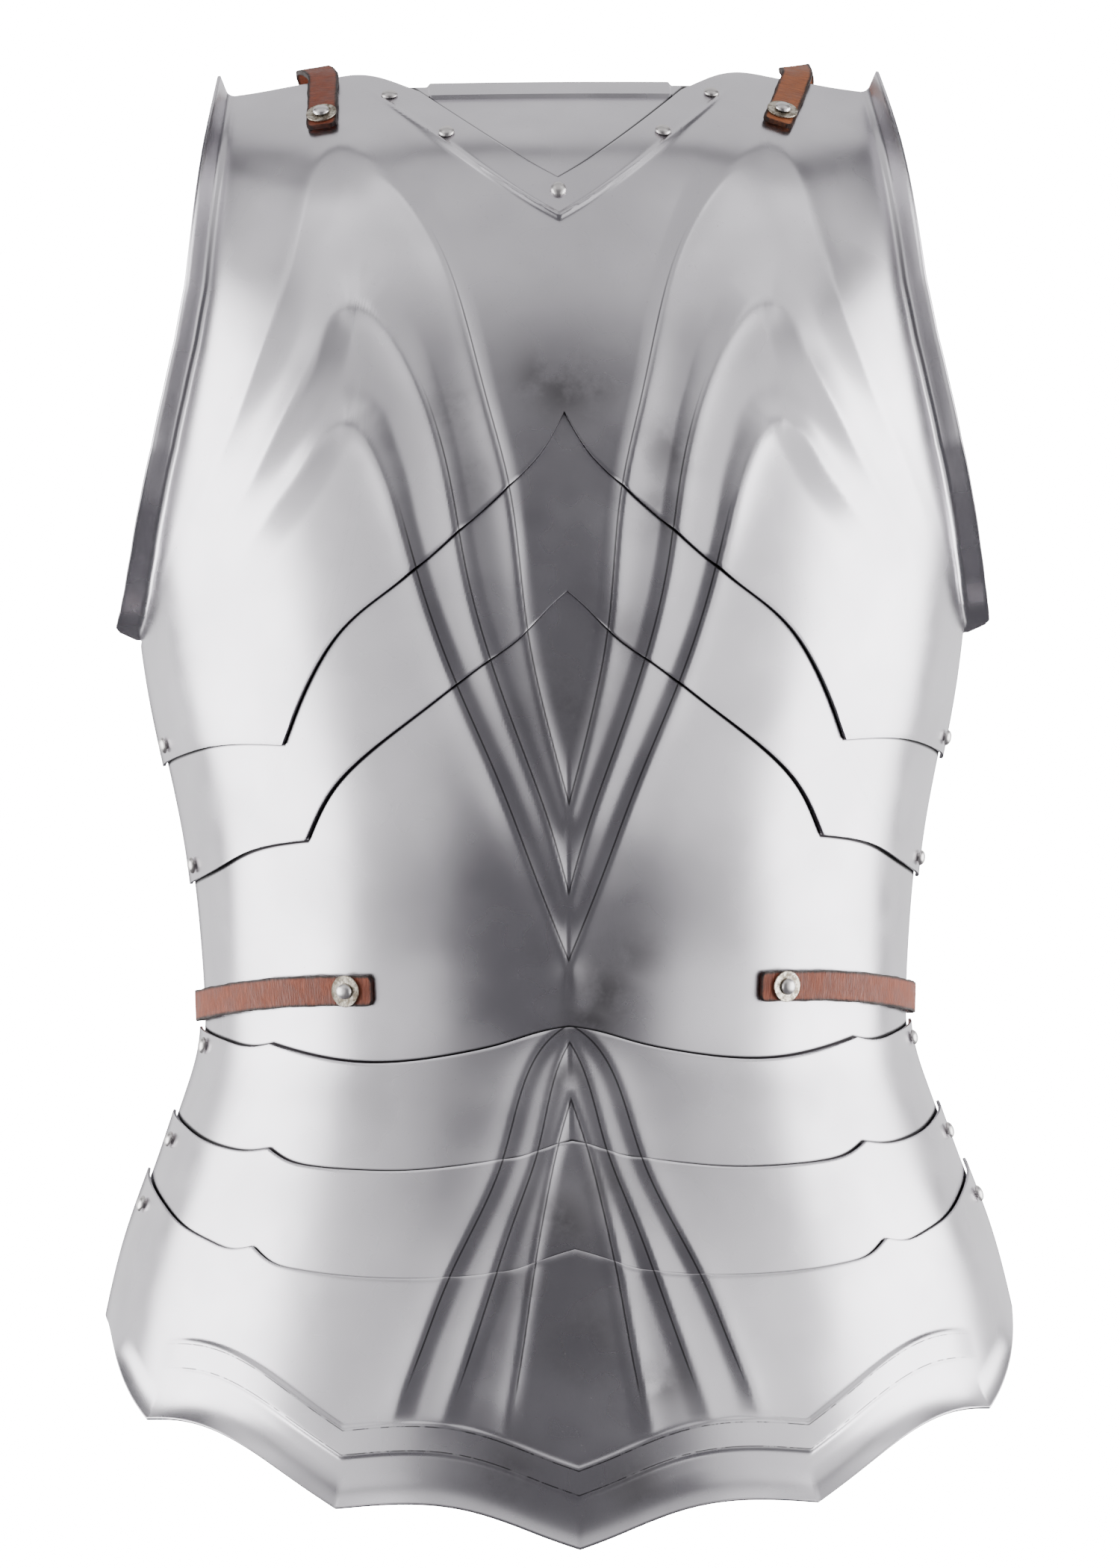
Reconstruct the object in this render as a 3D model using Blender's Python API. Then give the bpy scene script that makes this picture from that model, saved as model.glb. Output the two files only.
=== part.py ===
"""A steel cuirass breastplate with its fauld, straps and rivets.

Metres, +Z up. The front faces -Y and the wearer's left side is at +X. The origin is at the waist
line, midway between the two side edges of the plates, which all end in the plane y = 0.

Every plate is a piece of one curved surface, the hull, which is read by two coordinates: the turn,
0 at the front and 1 at either side edge, and the height above the waist. Each plate lies at its
own level, a whole number of plate pitches out from the hull, so plates that lap stay clear.
"""
import math
from collections import namedtuple

import bmesh
import bpy
import numpy as np
from mathutils import Matrix, Vector

# The body of the cuirass
TORSO_RISE = 0.4125     # waist line up to the neck rim
FAULD_DROP = 0.2345     # waist line down to the middle point of the lowest lame
CHEST_HALF = 0.1914     # half the width of the chest, its flanges left out
CHEST_DEPTH = 0.147     # how far the chest stands in front of the side edges
NECK_BOW = 0.016        # how far the neckline bows forward

# Sheet steel and how it laps
STEEL = 0.0014
PLATE_GAP = 0.0010      # air between two plates that lap
SEAT_GAP = 0.0003       # air under a rivet head, a washer or a strap
UPPER_LAP = 0.030       # how far a plate runs up under the one above it
FAULD_LAP = 0.022       # how far a plate runs down under the lame below it
LAP_SHOW = 0.012        # how far under a plate the raised work of the next one fades out
NECK_ROOM = 0.0005      # extra air behind the breast plate's neckline

# Raised work
FLAME_HEIGHT = 0.0030
VEE_HEIGHT = 0.0026
KEEL_HEIGHT = 0.0010
KEEL_WIDTH = 0.0050
FAULD_RIB_HEIGHT = 0.0022
RIB_FOOT = 0.0042       # width of a rib's steep side
BEAD_HEIGHT = 0.0012
BEAD_WIDTH = 0.0030
BEAD_DROP = 0.0175      # neckline down to the bead beside it
BEAD_ENDS = (0.25, 0.31)    # turns between which the bead fades out
FLANGE_WIDTH = 0.0085   # flat part of the armhole flange
FLANGE_FILLET = 0.0036
FLANGE_LEAN = 80.0      # degrees the flange turns up from the chest
HEM_FOLD = 0.0018       # how far the folded neck rim stands out
HEM_FOLD_WIDTH = 0.0062
HEM_FOLD_SLOPE = 0.0004 # width of the step at its foot
HEM_FOLD_ENDS = (0.192, 0.200)  # turns between which it ends
NECK_PLATE_TURN = 0.285
NECK_PLATE_FOOT = 1.15  # neckline down to the plate's lower edge, in bead drops
BORDER_LOWER = 0.0230   # lowest edge up to its first embossed line
BORDER_UPPER = 0.0335   # lowest edge up to its second embossed line
BORDER_HEIGHT = 0.0016
BORDER_SLOPE = 0.0020   # width of a line's slope
LIP_OUT = 0.0042        # how far the lowest edge turns out
LIP_WIDTH = 0.0150

# Rivets and washers
RIVET_HEAD = 0.0036     # radius
RIVET_DOME = 0.0026
RIVET_SHANK = 0.0018
RIVET_PLAY = 0.00035    # shank to hole, radially
RIVET_TAIL = 0.0030     # radius of the head inside the plates
RIVET_TAIL_THICK = 0.0010
RIVET_ROOM = 0.0013     # air under a rivet's head inside the plates
RIVET_SEGMENTS = 8
WASHER = 0.0069         # radius
WASHER_THICK = 0.0010

# Leather harness
STRAP_WIDTH = 0.0140
LEATHER = 0.0022
BACK_DEPTH = 0.112      # side edges back to the strap across the back
CLASP_LENGTH = 0.046
CLASP_HEIGHT = 0.022
CLASP_THICK = 0.003
STRAP_BREAK = 0.0006    # air between the two strap ends under the clasp
STRAP_ROOM = 0.0007     # extra air where the steel curves behind a strap

# Rest of the layout: places as shares of the sizes above
SIDE_RIVET_TURN = 0.88
SHOULDER_TURN = 0.381
SHOULDER_RISE = 0.954
SHOULDER_STRAP_END = 0.0125     # how far a strap runs on past its rivet
SHOULDER_STRAP_RISE = 0.060     # its rise along the plate, from that end
SHOULDER_STRAP_STEPS = 6        # points of its path along the plate
SHOULDER_LEAN = {"left": 0.062, "right": 0.0}
WAIST_STRAP_TURN = 0.41
WAIST_STRAP_RISE = 0.018
WAIST_STRAP_END = 0.052
WAIST_STRAP_LEVELS = (0.45, 1.05)   # turns between which it comes down to the waist line
WAIST_STRAP_OFF = 0.60          # turn from which it starts to stand off the plate
WAIST_STRAP_STEPS = 12          # points of its path along the plate

# How closely the points of a strap's mesh follow each other: finer on its first stretch
StrapMesh = namedtuple("StrapMesh", "stretch fine")
STRAP_MESH = {"shoulder": StrapMesh(0.060, 0.0075), "waist": StrapMesh(0.150, 0.0150)}
STRAP_SPACING = 0.030
OUT_WEIGHT = 0.010      # metres of path that one radian of twist counts as

PITCH = STEEL + PLATE_GAP
LEVELS = {
    "breast_plate": 0, "neck_plate": -1, "middle_plate": -1, "waist_plate": -2,
    "fauld_lame_1": -1, "fauld_lame_2": 0, "fauld_lame_3": 1,
}

# rise: share of TORSO_RISE above the waist, of FAULD_DROP below it
# half: half width, share of CHEST_HALF; depth: share of CHEST_DEPTH
Section = namedtuple("Section", "rise half depth")
SECTIONS = (
    Section(-1.000, 1.139, 1.105),
    Section(-0.770, 1.096, 1.085),
    Section(-0.600, 1.055, 1.050),
    Section(-0.430, 1.002, 1.000),
    Section(-0.300, 0.944, 0.945),
    Section(-0.176, 0.891, 0.890),
    Section(-0.060, 0.851, 0.840),
    Section(0.000, 0.849, 0.830),
    Section(0.070, 0.857, 0.865),
    Section(0.190, 0.886, 0.955),
    Section(0.330, 0.946, 1.000),
    Section(0.450, 0.979, 0.990),
    Section(0.600, 1.000, 0.922),
    Section(0.727, 0.992, 0.840),
    Section(0.824, 0.975, 0.742),
    Section(0.885, 0.962, 0.632),
    Section(0.933, 0.950, 0.478),
    Section(0.958, 0.944, 0.362),
    Section(0.982, 0.938, 0.228),
    Section(1.000, 0.933, 0.116),
    Section(1.020, 0.926, -0.020),
)

# A cut edge is one or more arcs that meet in corners. turn, rise
Edge = namedtuple("Edge", "turn rise")
NECKLINE = (Edge((0, 0.034, 0.085, 0.152, 0.211), (0.890, 0.898, 0.922, 0.956, 0.987)),)
SHOULDER_LINE = NECKLINE + (
    Edge((0.211, 0.247, 0.278, 0.322, 0.387, 0.446, 0.510, 0.571),
         (0.987, 0.998, 1.006, 1.010, 1.003, 0.997, 0.991, 0.987)),
)
BREAST_HEM = (
    Edge((0, 0.027, 0.057, 0.146, 0.260, 0.367, 0.442, 0.495),
         (0.631, 0.596, 0.570, 0.513, 0.450, 0.396, 0.333, 0.281)),
    Edge((0.495, 0.578, 0.678, 0.783, 1.0), (0.281, 0.283, 0.281, 0.274, 0.261)),
)
MIDDLE_HEM = (
    Edge((0, 0.030, 0.063, 0.119, 0.229, 0.359, 0.440, 0.481),
         (0.441, 0.422, 0.398, 0.369, 0.317, 0.260, 0.213, 0.178)),
    Edge((0.481, 0.544, 0.633, 0.733, 1.0), (0.178, 0.175, 0.167, 0.152, 0.132)),
)
LAME_1_TOP = (
    Edge((0, 0.050, 0.112, 0.190, 0.287, 0.382, 0.485, 0.602),
         (-0.037, -0.046, -0.065, -0.083, -0.097, -0.099, -0.087, -0.065)),
    Edge((0.602, 0.641, 0.749, 0.843, 1.0), (-0.065, -0.070, -0.063, -0.052, -0.038)),
)
LAME_2_TOP = (
    Edge((0, 0.024, 0.066, 0.121, 0.189, 0.264, 0.347, 0.436, 0.491, 0.535),
         (-0.248, -0.255, -0.272, -0.284, -0.294, -0.301, -0.300, -0.293, -0.281, -0.260)),
    Edge((0.535, 0.577, 0.652, 0.737, 0.824, 1.0), (-0.260, -0.265, -0.260, -0.245, -0.225, -0.196)),
)
LAME_3_TOP = (
    Edge((0, 0.038, 0.071, 0.123, 0.194, 0.285, 0.359, 0.425, 0.472, 0.510),
         (-0.449, -0.464, -0.480, -0.493, -0.500, -0.500, -0.494, -0.484, -0.470, -0.443)),
    Edge((0.510, 0.548, 0.607, 0.690, 0.782, 1.0), (-0.443, -0.449, -0.436, -0.410, -0.373, -0.310)),
)
SCALLOPS = (
    Edge((0, 0.038, 0.076, 0.137, 0.192, 0.252, 0.317),
         (-0.998, -0.978, -0.956, -0.927, -0.915, -0.915, -0.923)),
    Edge((0.317, 0.384, 0.443, 0.513, 0.589, 0.666), (-0.923, -0.870, -0.826, -0.788, -0.770, -0.771)),
    Edge((0.666, 0.711, 0.755, 0.825, 1.0), (-0.771, -0.736, -0.697, -0.640, -0.590)),
)
# The armhole, from its corner at the side up to the shoulder. rise, turn
ARMHOLE_RISE = (
    0.390, 0.396, 0.405, 0.420, 0.444, 0.484, 0.542, 0.598, 0.654, 0.710, 0.772, 0.916, 0.987,
)
ARMHOLE_TURN = (
    1.000, 0.955, 0.910, 0.864, 0.821, 0.773, 0.721, 0.678, 0.646, 0.619, 0.600, 0.584, 0.571,
)

# A rib's crest seen from the front. across: share of CHEST_HALF; rise: share of its rise or drop;
# near, far: width of the slope towards and away from the middle, in rib feet; tall: share of height
Crest = namedtuple("Crest", "across rise near far tall")
FLAME_1 = (
    Crest(0.000, 0.204, 1.0, 2.2, 0.9), Crest(0.059, 0.308, 1.0, 2.4, 0.9),
    Crest(0.098, 0.398, 1.0, 2.6, 0.9), Crest(0.136, 0.553, 1.0, 2.8, 1.0),
    Crest(0.183, 0.644, 1.0, 3.0, 1.0), Crest(0.236, 0.746, 1.1, 3.0, 0.9),
    Crest(0.291, 0.818, 1.3, 2.8, 0.8), Crest(0.343, 0.858, 1.7, 2.6, 0.7),
    Crest(0.409, 0.896, 2.4, 2.6, 0.6), Crest(0.496, 0.922, 3.0, 3.0, 0.5),
    Crest(0.562, 0.880, 2.4, 3.2, 0.5), Crest(0.588, 0.837, 2.0, 3.2, 0.6),
    Crest(0.638, 0.754, 1.8, 3.2, 0.8), Crest(0.688, 0.691, 1.8, 3.0, 0.8),
    Crest(0.774, 0.593, 1.8, 2.4, 0.7), Crest(0.845, 0.522, 1.6, 1.8, 0.1),
)
FLAME_2 = (
    Crest(0.000, 0.109, 1.0, 2.2, 0.9), Crest(0.053, 0.196, 1.0, 2.4, 0.9),
    Crest(0.102, 0.260, 1.0, 2.6, 0.9), Crest(0.186, 0.372, 1.0, 2.8, 1.0),
    Crest(0.238, 0.468, 1.0, 3.0, 1.0), Crest(0.272, 0.564, 1.0, 3.0, 1.0),
    Crest(0.326, 0.656, 1.2, 2.8, 0.9), Crest(0.388, 0.716, 1.6, 2.6, 0.8),
    Crest(0.469, 0.748, 2.4, 2.6, 0.7), Crest(0.517, 0.740, 2.4, 2.8, 0.7),
    Crest(0.547, 0.706, 2.0, 3.0, 0.8), Crest(0.586, 0.666, 1.8, 3.0, 0.9),
    Crest(0.643, 0.618, 1.8, 2.8, 0.9), Crest(0.707, 0.564, 1.8, 2.2, 0.7),
    Crest(0.810, 0.492, 1.6, 1.8, 0.1),
)
FLAME_3 = (
    Crest(0.000, 0.041, 1.0, 2.4, 0.9), Crest(0.081, 0.135, 1.0, 2.6, 0.9),
    Crest(0.159, 0.231, 1.0, 2.8, 0.9), Crest(0.260, 0.342, 1.0, 3.0, 1.0),
    Crest(0.343, 0.455, 1.0, 3.2, 1.0), Crest(0.376, 0.514, 1.0, 3.2, 1.0),
    Crest(0.429, 0.588, 1.4, 3.0, 0.9), Crest(0.484, 0.618, 2.2, 2.8, 0.8),
    Crest(0.538, 0.607, 2.2, 3.0, 0.8), Crest(0.590, 0.573, 1.8, 3.0, 0.8),
    Crest(0.653, 0.537, 1.8, 2.6, 0.7), Crest(0.753, 0.470, 1.6, 1.8, 0.1),
)
FAULD_RIB_1 = (
    Crest(0.000, -0.025, 1.0, 2.4, 0.9), Crest(0.040, -0.048, 1.0, 2.6, 1.0),
    Crest(0.165, -0.279, 1.0, 2.8, 1.0), Crest(0.224, -0.387, 1.0, 3.0, 1.0),
    Crest(0.297, -0.504, 1.0, 3.0, 1.0), Crest(0.381, -0.616, 1.0, 3.0, 1.0),
    Crest(0.431, -0.711, 1.2, 3.0, 0.9), Crest(0.457, -0.781, 1.5, 3.0, 0.3),
)
FAULD_RIB_2 = (
    Crest(0.000, -0.056, 1.0, 2.0, 0.9), Crest(0.012, -0.072, 1.0, 2.2, 0.9),
    Crest(0.090, -0.263, 1.0, 2.4, 1.0), Crest(0.149, -0.387, 1.0, 2.6, 1.0),
    Crest(0.207, -0.504, 1.0, 2.6, 1.0), Crest(0.278, -0.626, 1.0, 2.6, 1.0),
    Crest(0.338, -0.781, 1.4, 2.6, 0.3),
)
FAULD_RIB_3 = (
    Crest(0.000, -0.155, 1.0, 2.0, 0.9), Crest(0.038, -0.253, 1.0, 2.0, 1.0),
    Crest(0.069, -0.359, 1.0, 2.2, 1.0), Crest(0.103, -0.486, 1.0, 2.4, 1.0),
    Crest(0.145, -0.625, 1.0, 2.4, 1.0), Crest(0.174, -0.725, 1.0, 2.4, 1.0),
    Crest(0.193, -0.797, 1.4, 2.4, 0.3),
)
# Where plain columns of the mesh run, to meet the corners of the cut edges. rise, across
NECK_CORNER_LANE = ((0.551, 0.628, 0.756, 0.916, 0.987), (0.077, 0.103, 0.172, 0.276, 0.305))
LOWER_TURNS = (0.62, 0.70, 0.79)    # of the columns under the outer ends of the flames
NOTCH_LANE = (
    (0.178, 0.281, 0.396, 0.470, 0.556, 0.618, 0.756),
    (0.600, 0.650, 0.604, 0.552, 0.509, 0.484, 0.474),
)

# A shoulder strap past the plate. across: share of CHEST_HALF; back: share of BACK_DEPTH;
# rise: share of TORSO_RISE; twist: degrees it turns about its own length
StrapStop = namedtuple("StrapStop", "across back rise twist")
OVER_SHOULDER = {
    "left": (
        StrapStop(0.585, 0.040, 1.0170, 8), StrapStop(0.602, 0.197, 1.0130, 14),
        StrapStop(0.590, 0.551, 0.950, 8), StrapStop(0.540, 0.906, 0.820, 0),
        StrapStop(0.485, 1.090, 0.600, 0), StrapStop(0.425, 1.050, 0.300, 0),
    ),
    "right": (
        StrapStop(0.552, 0.053, 1.0180, -14), StrapStop(0.550, 0.197, 1.0120, -12),
        StrapStop(0.545, 0.551, 0.950, -6), StrapStop(0.520, 0.906, 0.820, 0),
        StrapStop(0.480, 1.090, 0.600, 0), StrapStop(0.425, 1.050, 0.300, 0),
    ),
}


class Spline:
    """The smooth curve through a few values, its second derivative 0 at both ends."""

    def __init__(self, at, values):
        self.at = np.array(at, float)
        self.values = np.array(values, float)
        count = len(self.at)
        gap = np.diff(self.at)
        matrix = np.eye(count)
        right = np.zeros(count)
        for i in range(1, count - 1):
            matrix[i, i - 1:i + 2] = gap[i - 1], 2 * (gap[i - 1] + gap[i]), gap[i]
            slopes = np.diff(self.values[i - 1:i + 2]) / gap[i - 1:i + 1]
            right[i] = 6 * (slopes[1] - slopes[0])
        self.bend = np.linalg.solve(matrix, right)

    def __call__(self, at):
        at = np.clip(np.asarray(at, float), self.at[0], self.at[-1])
        i = np.clip(np.searchsorted(self.at, at) - 1, 0, len(self.at) - 2)
        gap = self.at[i + 1] - self.at[i]
        low, high = (self.at[i + 1] - at) / gap, (at - self.at[i]) / gap
        curve = (low ** 3 - low) * self.bend[i] + (high ** 3 - high) * self.bend[i + 1]
        return low * self.values[i] + high * self.values[i + 1] + curve * gap ** 2 / 6


def height(rise):
    """Metres above the waist of a rise, which is a share of one of two sizes."""
    rise = np.asarray(rise, float)
    return rise * np.where(rise > 0, TORSO_RISE, FAULD_DROP)


def smooth_step(low, high, at):
    share = np.clip((np.asarray(at, float) - low) / (high - low), 0, 1)
    return share * share * (3 - 2 * share)


SECTION_HEIGHTS = height([section.rise for section in SECTIONS])
HALF = Spline(SECTION_HEIGHTS, [section.half * CHEST_HALF for section in SECTIONS])
DEPTH = Spline(SECTION_HEIGHTS, [section.depth * CHEST_DEPTH for section in SECTIONS])


def hull(turn, z):
    """The point of the hull at a turn (-1 to 1) and a height."""
    angle = np.asarray(turn, float) * math.pi / 2
    z = np.asarray(z, float)
    bow = NECK_BOW * smooth_step(0.80 * TORSO_RISE, 1.02 * TORSO_RISE, z) * np.cos(angle) ** 6
    return np.stack([HALF(z) * np.sin(angle), -DEPTH(z) * np.cos(angle) - bow, z + 0 * angle], -1)


def unit(vectors):
    return vectors / np.linalg.norm(vectors, axis=-1, keepdims=True)


def hull_normal(turn, z):
    step = 0.0005
    across = hull(turn + step, z) - hull(turn - step, z)
    up = hull(turn, z + step) - hull(turn, z - step)
    return unit(np.cross(across, up))


def at_level(turn, z, lift):
    """A point at a lift from the hull, and the hull's normal there."""
    normal = hull_normal(turn, z)
    return hull(turn, z) + normal * np.asarray(lift)[..., None], normal


def turn_of(across, z, level):
    """The turn at which a point this far across, in metres, lies."""
    return np.arcsin(np.clip(across / (HALF(z) + level * PITCH), 0, 1)) / (math.pi / 2)


def edge_function(arcs, drop=0.0):
    """Height of a cut edge at a turn, lowered by a drop."""
    curves = [Spline(arc.turn, height(arc.rise)) for arc in arcs]
    starts = [arc.turn[0] for arc in arcs]

    def edge(turn):
        turn = np.abs(np.asarray(turn, float))
        value = curves[0](turn)
        for start, curve in zip(starts[1:], curves[1:]):
            value = np.where(turn > start, curve(turn), value)
        return value - drop
    return edge


def straight_neckline(turn):
    """The neckline, carried on straight past its corner to the shoulder."""
    arc = NECKLINE[0]
    ends = np.array(arc.turn[-2:]), height(arc.rise[-2:])
    slope = (ends[1][1] - ends[1][0]) / (ends[0][1] - ends[0][0])
    turn = np.abs(np.asarray(turn, float))
    return edge_function(NECKLINE)(turn) + slope * np.maximum(turn - ends[0][1], 0)


class Rib:
    """A raised line on the hull: steep towards the middle, gentle away from it."""

    def __init__(self, rows, tall, samples=90):
        places = np.array([(row.across * CHEST_HALF, float(height(row.rise))) for row in rows])
        steps = np.linalg.norm(np.diff(places, axis=0), axis=1)
        along = np.concatenate([[0], np.cumsum(steps)])
        even = np.linspace(0, along[-1], samples)
        self.places = np.stack([Spline(along, places[:, i])(even) for i in (0, 1)], -1)
        self.near = np.interp(even, along, [row.near * RIB_FOOT for row in rows])
        self.far = np.interp(even, along, [row.far * RIB_FOOT for row in rows])
        self.tall = np.interp(even, along, [row.tall * tall for row in rows])
        self.top = int(np.argmax(self.places[:, 1]))

    def inner_lane(self, z):
        """How far across the branch nearer the middle is, at a height."""
        branch = self.places[:self.top + 1]
        return np.interp(z, branch[:, 1], branch[:, 0])

    def outer_lane(self, z):
        branch = self.places[self.top:][::-1]
        return np.interp(z, branch[:, 1], branch[:, 0])

    def falling_lane(self, z):
        """The same for a rib that only runs down and out."""
        return np.interp(-z, -self.places[:, 1], self.places[:, 0])

    def relief(self, across, z):
        spots = np.stack([np.abs(across), z], -1)
        start, end = self.places[:-1], self.places[1:]
        run = end - start
        rel = spots[:, None, :] - start[None]
        share = np.clip((rel * run).sum(-1) / (run * run).sum(-1), 0, 1)
        away = rel - share[..., None] * run
        distance = np.linalg.norm(away, axis=-1)
        nearest = distance.argmin(1)
        pick = np.arange(len(spots)), nearest
        distance, place = distance[pick], nearest + share[pick]
        rows = np.arange(len(self.near))
        near = np.interp(place, rows, self.near)
        far = np.interp(place, rows, self.far)
        tall = np.interp(place, rows, self.tall)
        outward = away[pick][:, 0] > 0
        crisp = smooth_step(2.2, 1.2, near / RIB_FOOT)
        steep = np.clip(1 - (distance / near) ** 2, 0, 1)
        soft = np.exp(1 - np.sqrt(1 + (distance / (0.6 * near)) ** 2))
        gentle = np.exp(1 - np.sqrt(1 + (distance / (0.6 * far)) ** 2))
        return tall * np.where(outward, gentle, crisp * steep + (1 - crisp) * soft)


FLAMES = [Rib(rows, FLAME_HEIGHT) for rows in (FLAME_1, FLAME_2, FLAME_3)]
FAULD_RIBS = [Rib(rows, FAULD_RIB_HEIGHT) for rows in (FAULD_RIB_3, FAULD_RIB_2, FAULD_RIB_1)]


def torso_relief(place, turn, above, below):
    """The three flames, lower where they come together, and the short keel under their points."""
    show = smooth_step(UPPER_LAP - LAP_SHOW, UPPER_LAP, below)
    across, z = place[:, 0], place[:, 2]
    full = smooth_step(0.40 * TORSO_RISE, 0.55 * TORSO_RISE, z)
    scale = VEE_HEIGHT / FLAME_HEIGHT
    keel = KEEL_HEIGHT * np.exp(1 - np.sqrt(1 + (across / KEEL_WIDTH) ** 2))
    keel *= smooth_step(0.06, 0.02, z / TORSO_RISE) * smooth_step(-0.04, 0.0, z / FAULD_DROP)
    return show * sum(rib.relief(across, z) for rib in FLAMES) * (scale + (1 - scale) * full) + keel


def breast_relief(place, turn, above, below):
    drop = straight_neckline(turn) - BEAD_DROP - place[:, 2]
    bead = BEAD_HEIGHT * np.exp(-(2 * drop / BEAD_WIDTH) ** 2)
    bead *= smooth_step(BEAD_ENDS[1], BEAD_ENDS[0], np.abs(turn))
    return torso_relief(place, turn, above, below + UPPER_LAP) + bead


def fauld_relief(place, turn, above, below):
    show = smooth_step(FAULD_LAP - LAP_SHOW, FAULD_LAP, above)
    return show * sum(rib.relief(place[:, 0], place[:, 2]) for rib in FAULD_RIBS)


def lowest_relief(place, turn, above, below):
    """The ribs, the two embossed lines along the scallops, the hollow and the lip below them."""
    ribs = fauld_relief(place, turn, above + FAULD_LAP, below)
    ribs *= smooth_step(BORDER_UPPER - BORDER_SLOPE / 2, BORDER_UPPER + 2 * BORDER_SLOPE, above)
    step_up = BORDER_HEIGHT * smooth_step(BORDER_UPPER + BORDER_SLOPE, BORDER_UPPER, above)
    step_down = BORDER_HEIGHT * smooth_step(BORDER_LOWER, BORDER_LOWER - BORDER_SLOPE, above)
    lip = LIP_OUT * np.clip(1 - above / LIP_WIDTH, 0, 1) ** 2
    return ribs + step_up - step_down + lip


def neck_relief(place, turn, above, below):
    fold = smooth_step(HEM_FOLD_WIDTH + HEM_FOLD_SLOPE, HEM_FOLD_WIDTH, below)
    fold *= smooth_step(HEM_FOLD_ENDS[1], HEM_FOLD_ENDS[0], np.abs(turn))
    return HEM_FOLD * fold - NECK_ROOM


class Lanes:
    """Mesh columns that run between guides, each guide a turn for every height."""
    least = 0.008       # the least turn between two guides

    def __init__(self, guides):
        self.guides = guides

    def turn(self, column, z):
        z = np.asarray(z, float)
        at = [guide(z) for guide in self.guides]
        for k in range(1, len(at) - 1):
            at[k] = np.maximum(at[k], at[k - 1] + self.least)
        k = min(int(column), len(at) - 2)
        return at[k] + (at[k + 1] - at[k]) * (column - k)


def lane(rib_lane, level, shift=0.0):
    return lambda z: turn_of(rib_lane(z) + shift, z, level)


def drawn_lane(table, level):
    heights, across = height(table[0]), np.array(table[1]) * CHEST_HALF
    return lambda z: turn_of(np.interp(z, heights, across), z, level)


def fixed(turn):
    return lambda z: turn + 0 * np.asarray(z, float)


def armhole(z):
    return np.interp(z, height(ARMHOLE_RISE), ARMHOLE_TURN)


TORSO_COUNTS = (1, 1, 1, 1, 1, 1, 5, 2, 1, 1, 2, 1)
RIM_ROW = 0.4           # place of the row between the neckline and its bead, in bead drops


def below_flame(guide, turn):
    """A guide that leaves its flame under the flame's outer end for a turn that stays the same."""
    def mixed(z):
        share = smooth_step(0.47, 0.36, z / TORSO_RISE)
        return guide(z) * (1 - share) + turn * share
    return mixed


def torso_guides(level):
    """Along the steep side and the crest of each flame, out to the notches and back to the side."""
    guides = [fixed(0.0)]
    for rib in FLAMES:
        guides += [lane(rib.inner_lane, level, -RIB_FOOT), lane(rib.inner_lane, level)]
    guides.append(drawn_lane(NOTCH_LANE, level))
    for rib, turn in zip(reversed(FLAMES), LOWER_TURNS):
        guides.append(below_flame(lane(rib.outer_lane, level), turn))
    return guides + [lambda z: SIDE_RIVET_TURN * armhole(z), armhole]


def fauld_guides(level):
    guides = [fixed(0.0)]
    for rib in FAULD_RIBS:
        guides += [lane(rib.falling_lane, level, -RIB_FOOT), lane(rib.falling_lane, level)]
    return guides


def columns(counts):
    """Column positions, with so many steps between each guide and the next."""
    return [k + i / count for k, count in enumerate(counts) for i in range(count)] + [len(counts)]


# The profile of the hull's middle line, to space rows along it: closer where it bends
BEND_WEIGHT = 0.20      # metres of run that one radian of bending counts as
PROFILE_Z = np.linspace(SECTION_HEIGHTS[0], SECTION_HEIGHTS[-1], 600)
PROFILE_STEP = np.diff(PROFILE_Z)
PROFILE_SLOPE = np.arctan2(np.diff(DEPTH(PROFILE_Z)), PROFILE_STEP)
PROFILE_BEND = np.abs(np.gradient(PROFILE_SLOPE))
PROFILE_RUN = np.cumsum(PROFILE_STEP / np.cos(PROFILE_SLOPE) + BEND_WEIGHT * PROFILE_BEND)
PROFILE_RUN = np.concatenate([[0], PROFILE_RUN])


def row_heights(low, high, count, foot_rows, head_rows):
    """Heights from an edge to the one above: rows at set distances near them, the rest even."""
    inner = low + max(foot_rows, default=0.0), high - max(head_rows, default=0.0)
    run = np.interp(inner, PROFILE_Z, PROFILE_RUN)
    middle = np.interp(np.linspace(run[0], run[1], count + 1), PROFILE_RUN, PROFILE_Z)
    feet = [low + rise for rise in sorted(set(foot_rows) | {0.0})][:len(foot_rows)]
    heads = [high - drop for drop in sorted(set(head_rows) | {0.0}, reverse=True)][1:]
    return np.array(feet + list(middle) + heads)


def solve_edge(edge, lanes, column, start):
    z = start
    for _ in range(40):
        z = 0.5 * (z + float(edge(lanes.turn(column, z))))
    return z


def plate_grid(name, lanes, counts, hem, top, rows, relief, foot_rows=(), head_rows=(), corner=None):
    """The outer face of one half of a plate: points[column, row], and its normals."""
    level = LEVELS[name]
    points, normals = [], []
    for column in columns(counts):
        low = solve_edge(hem, lanes, column, float(hem(0)))
        high = solve_edge(top, lanes, column, float(top(0)))
        z = row_heights(low, high, rows, foot_rows, head_rows)
        if corner is not None and column == len(counts):
            z[np.abs(z - corner).argmin()] = corner
        turn = lanes.turn(column, z)
        base, normal = at_level(turn, z, np.full(len(z), level * PITCH))
        raised = relief(base, turn, z - low, high - z)
        points.append(base + normal * raised[:, None])
        normals.append(normal)
    return np.array(points), np.array(normals)


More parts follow.
